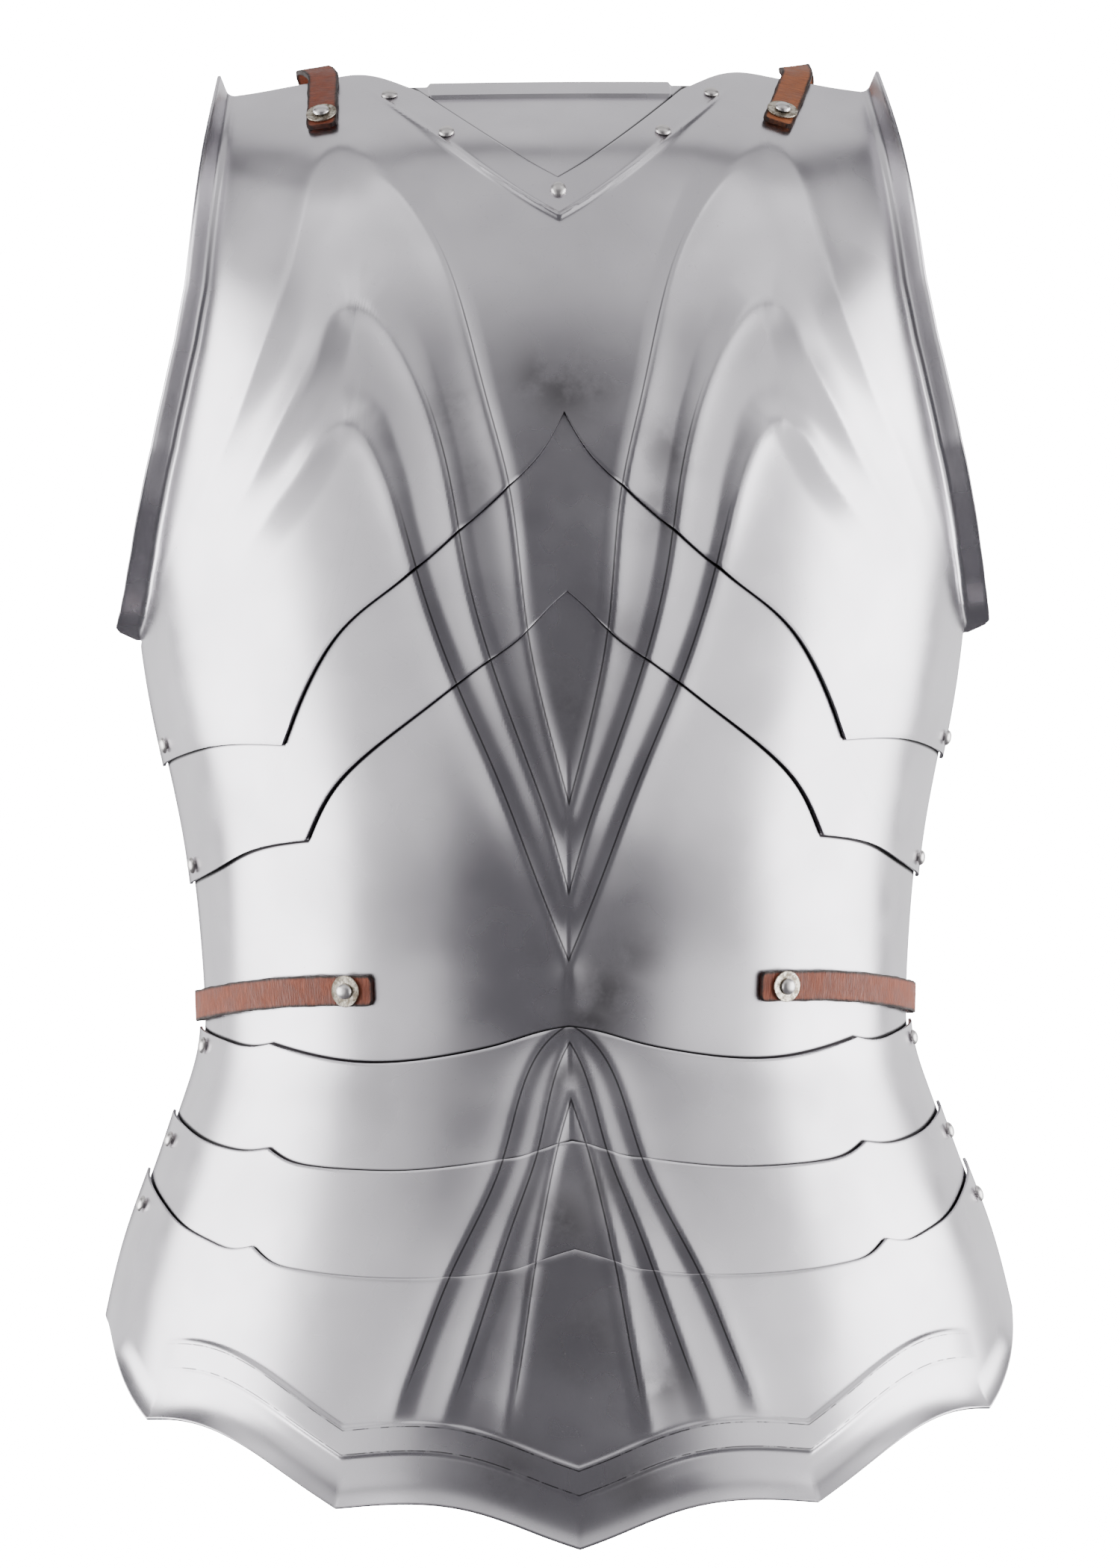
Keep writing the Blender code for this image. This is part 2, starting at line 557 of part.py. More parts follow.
def flange_columns(points, normals, first_row, bends=(1 / 2, 1)):
    """The columns that turn out along the armhole, past the last column of the grid."""
    edge, normal = points[-1, first_row:], unit(normals[-1, first_row:])
    along = unit(np.gradient(edge, axis=0))
    outward = unit(np.cross(along, normal))
    outward *= np.sign((outward * (edge - points[-2, first_row:])).sum(-1, keepdims=True))
    result = []
    for share in bends:
        angle = math.radians(FLANGE_LEAN) * share
        turned = outward * math.sin(angle) + normal * (1 - math.cos(angle))
        result.append(edge + FLANGE_FILLET * turned)
    tip = outward * math.cos(angle) + normal * math.sin(angle)
    result.append(result[-1] + FLANGE_WIDTH * tip)
    return np.array(result)


def material(name, colour, roughness, metallic):
    """A Principled material; the colour is linear."""
    made = bpy.data.materials.new(name)
    made.use_nodes = True
    shader = made.node_tree.nodes["Principled BSDF"]
    shader.inputs["Base Color"].default_value = (*colour, 1)
    shader.inputs["Roughness"].default_value = roughness
    shader.inputs["Metallic"].default_value = metallic
    return made


def add_object(name, mesh, finish):
    thing = bpy.data.objects.new(name, mesh)
    bpy.context.collection.objects.link(thing)
    if finish:
        mesh.materials.append(finish)
    return thing


def sheet_mesh(name, points, flange=None, first_row=0):
    """A mesh of a half grid and its mirror image, joined along the middle column."""
    shape = bmesh.new()
    rows = points.shape[1]
    mirror = np.array([-1, 1, 1])
    sides = {}
    for side in (1, -1):
        flip = np.where(side == 1, 1, mirror)
        sides[side] = [[shape.verts.new(p * flip) if side == 1 or c else None for p in column]
                       for c, column in enumerate(points)]
    sides[-1][0] = sides[1][0]

    def quad(corners, side):
        """Two triangles that meet along the shorter diagonal."""
        a, b, c, d = corners if side == 1 else corners[::-1]
        if (a.co - c.co).length <= (b.co - d.co).length:
            halves = (a, b, c), (a, c, d)
        else:
            halves = (a, b, d), (b, c, d)
        for half in halves:
            shape.faces.new(half)

    for side, grid in sides.items():
        for c in range(len(grid) - 1):
            for r in range(rows - 1):
                quad([grid[c][r], grid[c + 1][r], grid[c + 1][r + 1], grid[c][r + 1]], side)
        if flange is None:
            continue
        flip = np.where(side == 1, 1, mirror)
        last = grid[-1][first_row:]
        for column in flange:
            new = [shape.verts.new(p * flip) for p in column]
            for r in range(len(new) - 1):
                quad([last[r], new[r], new[r + 1], last[r + 1]], side)
            last = new
    mesh = bpy.data.meshes.new(name)
    shape.to_mesh(mesh)
    shape.free()
    mesh.shade_smooth()
    return mesh


def hole_cutters(name, holes):
    """One hidden object with a bar for each hole. A hole is a place, a normal and a reach."""
    shape = bmesh.new()
    reach = (RIVET_SHANK + RIVET_PLAY) / math.cos(math.pi / RIVET_SEGMENTS)
    for place, normal in holes:
        turn = Vector(normal).to_track_quat("Z", "Y").to_matrix().to_4x4()
        bmesh.ops.create_cone(
            shape, cap_ends=True, segments=RIVET_SEGMENTS, radius1=reach, radius2=reach, depth=12 * STEEL,
            matrix=Matrix.Translation(Vector(place)) @ turn)
    mesh = bpy.data.meshes.new(name)
    shape.to_mesh(mesh)
    shape.free()
    cutter = add_object(name, mesh, None)
    cutter.hide_render = True
    cutter.display_type = "WIRE"
    return cutter


def add_plate(name, mesh, finish, holes):
    """Thickens a sheet inwards and drills its rivet holes."""
    plate = add_object(name, mesh, finish)
    solid = plate.modifiers.new("thickness", "SOLIDIFY")
    solid.thickness = STEEL
    solid.offset = -1
    if holes:
        drill = plate.modifiers.new("rivet holes", "BOOLEAN")
        drill.operation = "DIFFERENCE"
        drill.solver = "MANIFOLD"
        drill.object = hole_cutters(name + " cutters", holes)
    return plate


def lathe_mesh(name, profile, segments=RIVET_SEGMENTS):
    """A closed turned solid. The profile runs down its outer side, axis to axis."""
    shape = bmesh.new()
    rings = []
    for radius, z in profile:
        if radius == 0:
            rings.append([shape.verts.new((0, 0, z))])
            continue
        angles = [2 * math.pi * i / segments for i in range(segments)]
        rings.append([shape.verts.new((radius * math.cos(a), radius * math.sin(a), z)) for a in angles])
    for upper, lower in zip(rings, rings[1:]):
        for i in range(segments):
            j = (i + 1) % segments
            corners = [
                upper[i % len(upper)], lower[i % len(lower)],
                lower[j % len(lower)], upper[j % len(upper)]]
            shape.faces.new(list(dict.fromkeys(corners)))
    mesh = bpy.data.meshes.new(name)
    shape.to_mesh(mesh)
    shape.free()
    mesh.shade_smooth()
    mesh.set_sharp_from_angle(angle=math.radians(40))
    return mesh


def rivet_mesh(name, grip):
    """A domed rivet. Its own +Z points out, and 0 is the face that its head lies on."""
    tail = -grip - RIVET_ROOM
    return lathe_mesh(name, [
        (0, SEAT_GAP + RIVET_DOME), (0.80 * RIVET_HEAD, SEAT_GAP + 0.62 * RIVET_DOME),
        (RIVET_HEAD, SEAT_GAP), (RIVET_SHANK, SEAT_GAP), (RIVET_SHANK, tail), (0.8 * RIVET_TAIL, tail),
        (0, tail - RIVET_TAIL_THICK)])


def washer_mesh(name, segments=12):
    """A flat ring that lies from 0 up to its thickness."""
    hole = RIVET_SHANK + RIVET_PLAY
    shape = bmesh.new()
    rings = []
    for radius, z in ((WASHER, 0), (WASHER, WASHER_THICK), (hole, WASHER_THICK), (hole, 0)):
        angles = [2 * math.pi * i / segments for i in range(segments)]
        rings.append([shape.verts.new((radius * math.cos(a), radius * math.sin(a), z)) for a in angles])
    for k in range(4):
        lower, upper = rings[k], rings[(k + 1) % 4]
        for i in range(segments):
            j = (i + 1) % segments
            shape.faces.new([lower[i], lower[j], upper[j], upper[i]])
    mesh = bpy.data.meshes.new(name)
    shape.to_mesh(mesh)
    shape.free()
    return mesh


def place_on(thing, point, normal):
    thing.matrix_world = Matrix.Translation(Vector(point)) @ \
        Vector(normal).to_track_quat("Z", "Y").to_matrix().to_4x4()


def ribbon_mesh(name, centres, outs, width, thick):
    """A strap along a list of centres, with its outer face towards the outs."""
    centres, outs = np.array(centres), unit(np.array(outs))
    along = unit(np.gradient(centres, axis=0))
    across = unit(np.cross(along, outs))
    outs = np.cross(across, along)
    shape = bmesh.new()
    rings = []
    for centre, side, out in zip(centres, across * width / 2, outs * thick / 2):
        corners = (centre + side + out, centre - side + out, centre - side - out, centre + side - out)
        rings.append([shape.verts.new(corner) for corner in corners])
    for near, far in zip(rings, rings[1:]):
        for i in range(4):
            j = (i + 1) % 4
            shape.faces.new([near[i], near[j], far[j], far[i]])
    shape.faces.new(rings[0][::-1])
    shape.faces.new(rings[-1])
    bmesh.ops.recalc_face_normals(shape, faces=shape.faces[:])
    mesh = bpy.data.meshes.new(name)
    shape.to_mesh(mesh)
    shape.free()
    return mesh


def spread_path(points, close, fine, spacing):
    """Points along the smooth curve through a few: a fine spacing at first, then a wider one."""
    points = np.array(points, float)
    run = np.concatenate([[0], np.cumsum(np.linalg.norm(np.diff(points, axis=0), axis=1))])
    start = np.linspace(0, close, round(close / fine) + 1)
    rest = np.linspace(close, run[-1], round((run[-1] - close) / spacing) + 1)[1:]
    places = np.concatenate([start, rest])
    return np.stack([Spline(run, points[:, i])(places) for i in range(points.shape[1])], -1)


RELIEFS = {
    "breast_plate": breast_relief, "neck_plate": neck_relief, "middle_plate": torso_relief,
    "waist_plate": torso_relief, "fauld_lame_1": fauld_relief, "fauld_lame_2": fauld_relief,
    "fauld_lame_3": lowest_relief,
}
# Which plate lies outside, which inside, and the rise of the pivots that join them
SIDE_RIVETS = (
    ("breast", "breast_plate", "middle_plate", 0.284), ("middle", "middle_plate", "waist_plate", 0.153),
    ("lame_1", "fauld_lame_1", "waist_plate", -0.072), ("lame_2", "fauld_lame_2", "fauld_lame_1", -0.252),
    ("lame_3", "fauld_lame_3", "fauld_lame_2", -0.377),
)
# The rivets along the neckline. turn, rise
NECK_RIVETS = (("low", 0.0, 0.870), ("mid", 0.170, 0.936), ("high", 0.262, 0.982))
SIDES = (("left", 1), ("right", -1))    # the wearer's own sides


def on_plate(name, turn, z, lift=0.0):
    """A place at a lift from a plate's outer face, and the normal there."""
    turns, heights = np.array([abs(turn)]), np.array([z])
    base, normal = at_level(turns, heights, np.full(1, LEVELS[name] * PITCH))
    raised = RELIEFS[name](base, turns, np.full(1, 1.0), np.full(1, 1.0))
    mirror = np.array([math.copysign(1, turn) if turn else 1, 1, 1])
    return (base + normal * (raised[:, None] + lift))[0] * mirror, normal[0] * mirror


def strap_spots(side):
    """Where the straps of one side are riveted on: plate, turn, height."""
    return {
        "shoulder": ("breast_plate", side * SHOULDER_TURN, SHOULDER_RISE * TORSO_RISE),
        "waist": ("waist_plate", side * WAIST_STRAP_TURN, WAIST_STRAP_RISE * TORSO_RISE),
    }


def make_plates(steel):
    """The seven plates, each drilled where its rivets pass."""
    holes = {name: [] for name in LEVELS}
    for _, outer, inner, rise in SIDE_RIVETS:
        for _, side in SIDES:
            spot = on_plate(outer, side * SIDE_RIVET_TURN, float(height(rise)))
            holes[outer].append(spot)
            holes[inner].append(spot)
    for _, turn, rise in NECK_RIVETS:
        for side in (1, -1) if turn else (1,):
            spot = on_plate("breast_plate", side * turn, rise * TORSO_RISE)
            holes["breast_plate"].append(spot)
            holes["neck_plate"].append(spot)
    for _, side in SIDES:
        for plate, turn, z in strap_spots(side).values():
            holes[plate].append(on_plate(plate, turn, z))

    guides = torso_guides(0)
    lanes = Lanes([guides[0], drawn_lane(NECK_CORNER_LANE, 0)] + guides[1:])
    corner = float(height(ARMHOLE_RISE[1]))
    points, normals = plate_grid(
        "breast_plate", lanes, (3, 2) + TORSO_COUNTS[1:], edge_function(BREAST_HEM),
        edge_function(SHOULDER_LINE), 8, breast_relief, corner=corner,
        head_rows=(BEAD_DROP + BEAD_WIDTH, BEAD_DROP, BEAD_DROP - BEAD_WIDTH, RIM_ROW * BEAD_DROP))
    first_row = int(np.abs(points[-1, :, 2] - corner).argmin())
    flange = flange_columns(points, normals, first_row)
    sheet = sheet_mesh("breast_plate", points, flange, first_row)
    add_plate("breast_plate", sheet, steel, holes["breast_plate"])

    lanes = Lanes([fixed(0.0)] + [fixed(turn) for turn in HEM_FOLD_ENDS + (NECK_PLATE_TURN,)])
    points, _ = plate_grid(
        "neck_plate", lanes, (4, 1, 2),
        lambda turn: straight_neckline(turn) - NECK_PLATE_FOOT * BEAD_DROP,
        lambda turn: TORSO_RISE + 0 * turn, 4, neck_relief,
        head_rows=(HEM_FOLD_WIDTH + HEM_FOLD_SLOPE, HEM_FOLD_WIDTH))
    add_plate("neck_plate", sheet_mesh("neck_plate", points), steel, holes["neck_plate"])

    points, _ = plate_grid(
        "middle_plate", Lanes(torso_guides(-1)), TORSO_COUNTS, edge_function(MIDDLE_HEM),
        edge_function(BREAST_HEM, -UPPER_LAP), 5, torso_relief)
    add_plate("middle_plate", sheet_mesh("middle_plate", points), steel, holes["middle_plate"])

    points, _ = plate_grid(
        "waist_plate", Lanes(torso_guides(-2)), TORSO_COUNTS, edge_function(LAME_1_TOP, FAULD_LAP),
        edge_function(MIDDLE_HEM, -UPPER_LAP), 7, torso_relief)
    add_plate("waist_plate", sheet_mesh("waist_plate", points), steel, holes["waist_plate"])

    upper_lames = ("fauld_lame_1", LAME_1_TOP, LAME_2_TOP), ("fauld_lame_2", LAME_2_TOP, LAME_3_TOP)
    for name, top, below in upper_lames:
        cusp = top[0].turn[-1]
        lanes = Lanes(fauld_guides(LEVELS[name]) + [fixed(cusp), fixed(SIDE_RIVET_TURN), fixed(1.0)])
        points, _ = plate_grid(
            name, lanes, (1, 1, 1, 1, 1, 1, 5, 3, 1), edge_function(below, FAULD_LAP),
            edge_function(top), 3, fauld_relief, foot_rows=(FAULD_LAP,))
        add_plate(name, sheet_mesh(name, points), steel, holes[name])
    corners = [SCALLOPS[0].turn[-1], LAME_3_TOP[0].turn[-1], SCALLOPS[1].turn[-1], SIDE_RIVET_TURN, 1.0]
    lanes = Lanes(fauld_guides(1) + [fixed(corner) for corner in corners])
    points, _ = plate_grid(
        "fauld_lame_3", lanes, (1, 1, 1, 1, 1, 1, 2, 2, 2, 2, 1), edge_function(SCALLOPS),
        edge_function(LAME_3_TOP), 3, lowest_relief,
        foot_rows=(LIP_WIDTH, BORDER_LOWER - BORDER_SLOPE, BORDER_LOWER, BORDER_UPPER))
    add_plate("fauld_lame_3", sheet_mesh("fauld_lame_3", points), steel, holes["fauld_lame_3"])


def make_plate_rivets(steel):
    lap = rivet_mesh("lap rivet", PITCH + STEEL)
    for pair, outer, _, rise in SIDE_RIVETS:
        for side_name, side in SIDES:
            spot = on_plate(outer, side * SIDE_RIVET_TURN, float(height(rise)), SEAT_GAP)
            place_on(add_object(f"rivet_{pair}_{side_name}", lap, None), *spot)
    for row, turn, rise in NECK_RIVETS:
        for side_name, side in SIDES if turn else (("middle", 1),):
            spot = on_plate("breast_plate", side * turn, rise * TORSO_RISE)
            place_on(add_object(f"rivet_neck_{row}_{side_name}", lap, None), *spot)
    lap.materials.append(steel)


def waist_strap_path(side):
    """From its end on the plate, along the plate to the side and half way round the back."""
    centres, outs = [], []
    lift = SEAT_GAP + STRAP_ROOM + LEATHER / 2
    high, low = WAIST_STRAP_LEVELS
    for turn in np.linspace(WAIST_STRAP_TURN - WAIST_STRAP_END, 1.0, WAIST_STRAP_STEPS):
        rise = WAIST_STRAP_RISE * TORSO_RISE * float(smooth_step(low, high, turn))
        off = lift + 0.5 * LEATHER * float(smooth_step(WAIST_STRAP_OFF, 1.0, turn))
        place, normal = on_plate("waist_plate", side * turn, rise, off)
        centres.append(place)
        outs.append(normal)
    half = abs(centres[-1][0])
    last = math.acos(STRAP_BREAK / 2 / half)
    for angle in np.linspace(0, last, 14)[1:]:
        centres.append(back_strap_place(side * half, angle, 0.0))
        outs.append(back_strap_normal(side * half, angle))
    return np.array(centres), np.array(outs)


def back_strap_place(half, angle, z):
    return np.array([half * math.cos(angle), BACK_DEPTH * math.sin(angle), z])


def back_strap_normal(half, angle):
    return unit(np.array([math.cos(angle) / half, math.sin(angle) / BACK_DEPTH, 0.0]))


def shoulder_strap_path(side, side_name):
    """From its end on the breast plate over the shoulder and down to the strap round the back."""
    centres, outs = [], []
    stops = OVER_SHOULDER[side_name]
    lift = SEAT_GAP + STRAP_ROOM + LEATHER / 2
    rivet_share = SHOULDER_STRAP_END / SHOULDER_STRAP_RISE
    for share in np.linspace(0, 1, SHOULDER_STRAP_STEPS):
        rise = SHOULDER_RISE - SHOULDER_STRAP_END + share * SHOULDER_STRAP_RISE
        turn = SHOULDER_TURN + SHOULDER_LEAN[side_name] * (share - rivet_share)
        place, normal = on_plate("breast_plate", side * turn, rise * TORSO_RISE, lift)
        centres.append(place)
        outs.append(normal)
    for stop in stops:
        centres.append(np.array([
            side * stop.across * CHEST_HALF, stop.back * BACK_DEPTH, stop.rise * TORSO_RISE]))
        outs.append(np.zeros(3))
    waist, _ = waist_strap_path(side)
    half = side * abs(waist[WAIST_STRAP_STEPS - 1][0])
    angle = math.acos(stops[-1].across * CHEST_HALF / abs(half))
    normal = back_strap_normal(half, angle)
    for z in (STRAP_WIDTH, 0.0, -0.75 * STRAP_WIDTH):
        centres.append(back_strap_place(half, angle, z) + normal * (LEATHER + SEAT_GAP))
        outs.append(normal)
    centres = np.array(centres)
    along = unit(np.gradient(centres, axis=0))
    for i, stop in enumerate(stops, SHOULDER_STRAP_STEPS):
        twist = math.radians(stop.twist)
        across = np.array([math.cos(twist), 0, side * math.sin(twist)])
        outs[i] = unit(np.cross(across, along[i]))
    return centres, np.array(outs)


def even_ribbon(centres, outs, spacing):
    path = np.concatenate([centres, outs * OUT_WEIGHT], axis=1)
    both = spread_path(path, spacing.stretch, spacing.fine, STRAP_SPACING)
    return both[:, :3], both[:, 3:]


def drilled(name, mesh, finish, holes):
    strap = add_object(name, mesh, finish)
    drill = strap.modifiers.new("rivet holes", "BOOLEAN")
    drill.operation = "DIFFERENCE"
    drill.solver = "MANIFOLD"
    drill.object = hole_cutters(name + " cutters", holes)


def make_harness(leather, steel, aged):
    """The four straps, their washers and rivets, and the clasp behind the wearer."""
    on_leather = 2 * SEAT_GAP + STRAP_ROOM + LEATHER + WASHER_THICK
    anchor = rivet_mesh("anchor rivet", on_leather + STEEL)
    lap = rivet_mesh("strap rivet", 2 * LEATHER + SEAT_GAP)
    ring = washer_mesh("washer")
    for side_name, side in SIDES:
        spots = strap_spots(side)
        paths = {"shoulder": shoulder_strap_path(side, side_name), "waist": waist_strap_path(side)}
        centres, outs = paths["shoulder"]
        joint = centres[-2] + outs[-2] * LEATHER / 2, outs[-2]
        place_on(add_object(f"rivet_back_{side_name}", lap, None), *joint)
        for row, (plate, turn, z) in spots.items():
            washer = add_object(f"washer_{row}_{side_name}", ring, None)
            place_on(washer, *on_plate(plate, turn, z, on_leather - WASHER_THICK))
            rivet = add_object(f"rivet_{row}_strap_{side_name}", anchor, None)
            place_on(rivet, *on_plate(plate, turn, z, on_leather))
            ribbon = even_ribbon(*paths[row], STRAP_MESH[row])
            mesh = ribbon_mesh(f"{row}_strap", *ribbon, STRAP_WIDTH, LEATHER)
            drilled(f"{row}_strap_{side_name}", mesh, leather, [on_plate(plate, turn, z), joint])
    anchor.materials.append(steel)
    lap.materials.append(steel)
    ring.materials.append(aged)
    bpy.ops.mesh.primitive_cube_add(size=1)
    clasp = bpy.context.object
    clasp.name = clasp.data.name = "back_clasp"
    clasp.scale = CLASP_LENGTH, CLASP_THICK, CLASP_HEIGHT
    clasp.location.y = BACK_DEPTH + LEATHER / 2 + SEAT_GAP + CLASP_THICK / 2
    bpy.ops.object.transform_apply(location=False, rotation=False, scale=True)
    clasp.data.materials.append(aged)


def main():
    for thing in list(bpy.data.objects):
        bpy.data.objects.remove(thing, do_unlink=True)
    steel = material("polished steel", (0.56, 0.56, 0.58), 0.28, 1.0)
    aged = material("aged nickel", (0.30, 0.27, 0.22), 0.40, 1.0)
    leather = material("brown leather", (0.26, 0.09, 0.045), 0.55, 0.0)
    make_plates(steel)
    make_plate_rivets(steel)
    make_harness(leather, steel, aged)


main()
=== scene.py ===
# %% [markdown]
# # Steel cuirass breastplate
#
# This lesson builds the front half of a plate cuirass in Blender: lapped steel plates with raised
# flames, a fauld of three lames that ends in scallops, and a leather harness held by rivets.
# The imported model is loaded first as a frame. It already has every piece at its real size, so each
# finer piece below is made in the same metres and stands for one of its solids.

# %% Load the frame
import math
from collections import namedtuple

import bpy
import numpy as np
from mathutils import Matrix, Vector


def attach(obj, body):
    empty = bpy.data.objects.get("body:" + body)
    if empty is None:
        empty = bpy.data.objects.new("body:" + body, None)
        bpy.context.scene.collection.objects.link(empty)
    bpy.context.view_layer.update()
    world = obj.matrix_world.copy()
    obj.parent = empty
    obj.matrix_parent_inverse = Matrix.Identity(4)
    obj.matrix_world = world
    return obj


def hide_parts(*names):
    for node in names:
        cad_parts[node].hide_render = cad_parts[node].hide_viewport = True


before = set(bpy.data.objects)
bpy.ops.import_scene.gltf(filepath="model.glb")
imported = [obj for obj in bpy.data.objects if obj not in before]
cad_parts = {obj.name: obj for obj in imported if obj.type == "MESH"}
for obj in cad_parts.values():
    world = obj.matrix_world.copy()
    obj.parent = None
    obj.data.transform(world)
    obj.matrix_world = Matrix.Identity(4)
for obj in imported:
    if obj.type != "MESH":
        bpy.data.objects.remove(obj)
bpy.ops.object.select_all(action="DESELECT")
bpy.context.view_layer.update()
scene = bpy.context.scene

# %% [markdown]
# ## The camera
#
# The photo looks square on, and its far edges hardly shrink, as with a long lens from a few metres
# away. The armour hangs a little askew in it, which a small roll of the camera repeats. The angles,
# the target and the height were fitted to places read off the photo, and the distance was chosen.
# The lens is worked out from the height that the picture takes in.

# %% Camera
VIEW_AZIMUTH = -2.8         # degrees
VIEW_ELEVATION = -0.2
VIEW_ROLL = 0.6
VIEW_DISTANCE = 4.5
VIEW_TARGET = Vector((0.0, -0.06, 0.0978))
VIEW_HEIGHT = 0.6958        # metres of the object from the top of the picture to its foot
SENSOR = 36                 # mm


def set_camera():
    around, up = math.radians(VIEW_AZIMUTH), math.radians(VIEW_ELEVATION)
    back = Vector((math.sin(around) * math.cos(up), -math.cos(around) * math.cos(up), math.sin(up)))
    bpy.ops.object.camera_add(location=VIEW_TARGET + VIEW_DISTANCE * back)
    camera = bpy.context.object
    camera.name = "photo_camera"
    facing = (-back).to_track_quat("-Z", "Y").to_matrix()
    camera.rotation_euler = (facing @ Matrix.Rotation(-math.radians(VIEW_ROLL), 3, "Z")).to_euler()
    camera.data.sensor_width = SENSOR
    camera.data.lens = SENSOR * VIEW_DISTANCE / VIEW_HEIGHT
    scene.camera = camera


set_camera()
print("lens, mm:", round(scene.camera.data.lens))

# %% [markdown]
# ## Sizes
#
# Every size is a named length in metres, so that a reader can see what a number is for. Places on the
# body are shares of these lengths. A turn runs from 0 at the middle of the front to 1 at the side.

# %% Sizes

# The body of the cuirass
TORSO_RISE = 0.4125     # waist line up to the neck rim
FAULD_DROP = 0.2345     # waist line down to the middle point of the lowest lame
CHEST_HALF = 0.1914     # half the width of the chest, its flanges left out
CHEST_DEPTH = 0.147     # how far the chest stands in front of the side edges
NECK_BOW = 0.016        # how far the neckline bows forward

# Sheet steel and how it laps
STEEL = 0.0014
PLATE_GAP = 0.0010      # air between two plates that lap
SEAT_GAP = 0.0003       # air under a rivet head, a washer or a strap
UPPER_LAP = 0.030       # how far a plate runs up under the one above it
FAULD_LAP = 0.022       # how far a plate runs down under the lame below it
LAP_SHOW = 0.012        # how far under a plate the raised work of the next one fades out
NECK_ROOM = 0.0005      # extra air behind the breast plate's neckline

# Raised work
FLAME_HEIGHT = 0.0025
VEE_HEIGHT = 0.0018
KEEL_HEIGHT = 0.0010
KEEL_WIDTH = 0.0050
FAULD_RIB_HEIGHT = 0.0017
RIB_FOOT = 0.0042       # unit of the widths of a rib's slopes
RIB_INNER = 1.7         # how much wider than that a slope towards the middle is
BEAD_HEIGHT = 0.0012
BEAD_WIDTH = 0.0030
BEAD_DROP = 0.0175      # neckline down to the bead beside it
BEAD_ENDS = (0.25, 0.31)    # turns between which the bead fades out
FLANGE_WIDTH = 0.0085   # flat part of the armhole flange
FLANGE_FILLET = 0.0036
FLANGE_LEAN = 80.0      # degrees the flange turns up from the chest
HEM_FOLD = 0.0018       # how far the folded neck rim stands out
HEM_FOLD_WIDTH = 0.0062
HEM_FOLD_SLOPE = 0.0004 # width of the step at its foot
HEM_FOLD_ENDS = (0.192, 0.200)  # turns between which it ends
NECK_PLATE_TURN = 0.285
NECK_PLATE_FOOT = 1.15  # neckline down to the plate's lower edge, in bead drops
BORDER_LOWER = 0.0230   # lowest edge up to its first embossed line
BORDER_UPPER = 0.0335   # lowest edge up to its second embossed line
BORDER_HEIGHT = 0.0010
BORDER_SLOPE = 0.0030   # width of a line's slope
BORDER_ENDS = (0.590, 0.675)    # turns between which the lines end
LIP_ENDS = (0.74, 0.94)         # turns between which the lip ends
LIP_OUT = 0.0042        # how far the lowest edge turns out
LIP_WIDTH = 0.0150

# Rivets and washers
RIVET_HEAD = 0.0036     # radius
RIVET_DOME = 0.0026
RIVET_SHANK = 0.0018
RIVET_PLAY = 0.00035    # shank to hole, radially
RIVET_TAIL = 0.0030     # radius of the head inside the plates
RIVET_TAIL_THICK = 0.0010
RIVET_ROOM = 0.0013     # air under a rivet's head inside the plates
WASHER = 0.0069         # radius
WASHER_THICK = 0.0010

# Leather harness
STRAP_WIDTH = 0.0140
LEATHER = 0.0022
BACK_DEPTH = 0.112      # side edges back to the strap across the back
CLASP_LENGTH = 0.046
CLASP_HEIGHT = 0.022
CLASP_THICK = 0.003
STRAP_BREAK = 0.0006    # air between the two strap ends under the clasp
STRAP_ROOM = 0.0007     # extra air where the steel curves behind a strap

# Rest of the layout: places as shares of the sizes above
SIDE_RIVET_TURN = 0.88
SHOULDER_TURN = 0.381
SHOULDER_RISE = 0.954
SHOULDER_STRAP_END = 0.0125     # how far a strap runs on past its rivet
SHOULDER_STRAP_RISE = 0.060     # its rise along the plate, from that end
SHOULDER_STRAP_STEPS = 6        # points of its path along the plate
SHOULDER_LEAN = {"left": 0.062, "right": 0.0}
WAIST_STRAP_TURN = 0.41
WAIST_STRAP_RISE = 0.018
WAIST_STRAP_END = 0.052
WAIST_STRAP_LEVELS = (0.45, 1.05)   # turns between which it comes down to the waist line
WAIST_STRAP_OFF = 0.60          # turn from which it starts to stand off the plate
WAIST_STRAP_STEPS = 12          # points of its path along the plate

PITCH = STEEL + PLATE_GAP
OUT_WEIGHT = 0.010      # metres of path that one radian of twist counts as

LEVELS = {
    "breast_plate": 0, "neck_plate": -1, "middle_plate": -1, "waist_plate": -2,
    "fauld_lame_1": -1, "fauld_lame_2": 0, "fauld_lame_3": 1,
}

# %% [markdown]
# ## The hull that every plate follows
#
# A smith shapes all the plates of a cuirass over one form, so that they nest. The same is done
# here: one smooth surface is set by a short table of sections, and each plate is a piece of it,
# moved in or out by whole steps. A spline through the table gives the half width and the depth at
# any height, and each cross-section is half an ellipse.

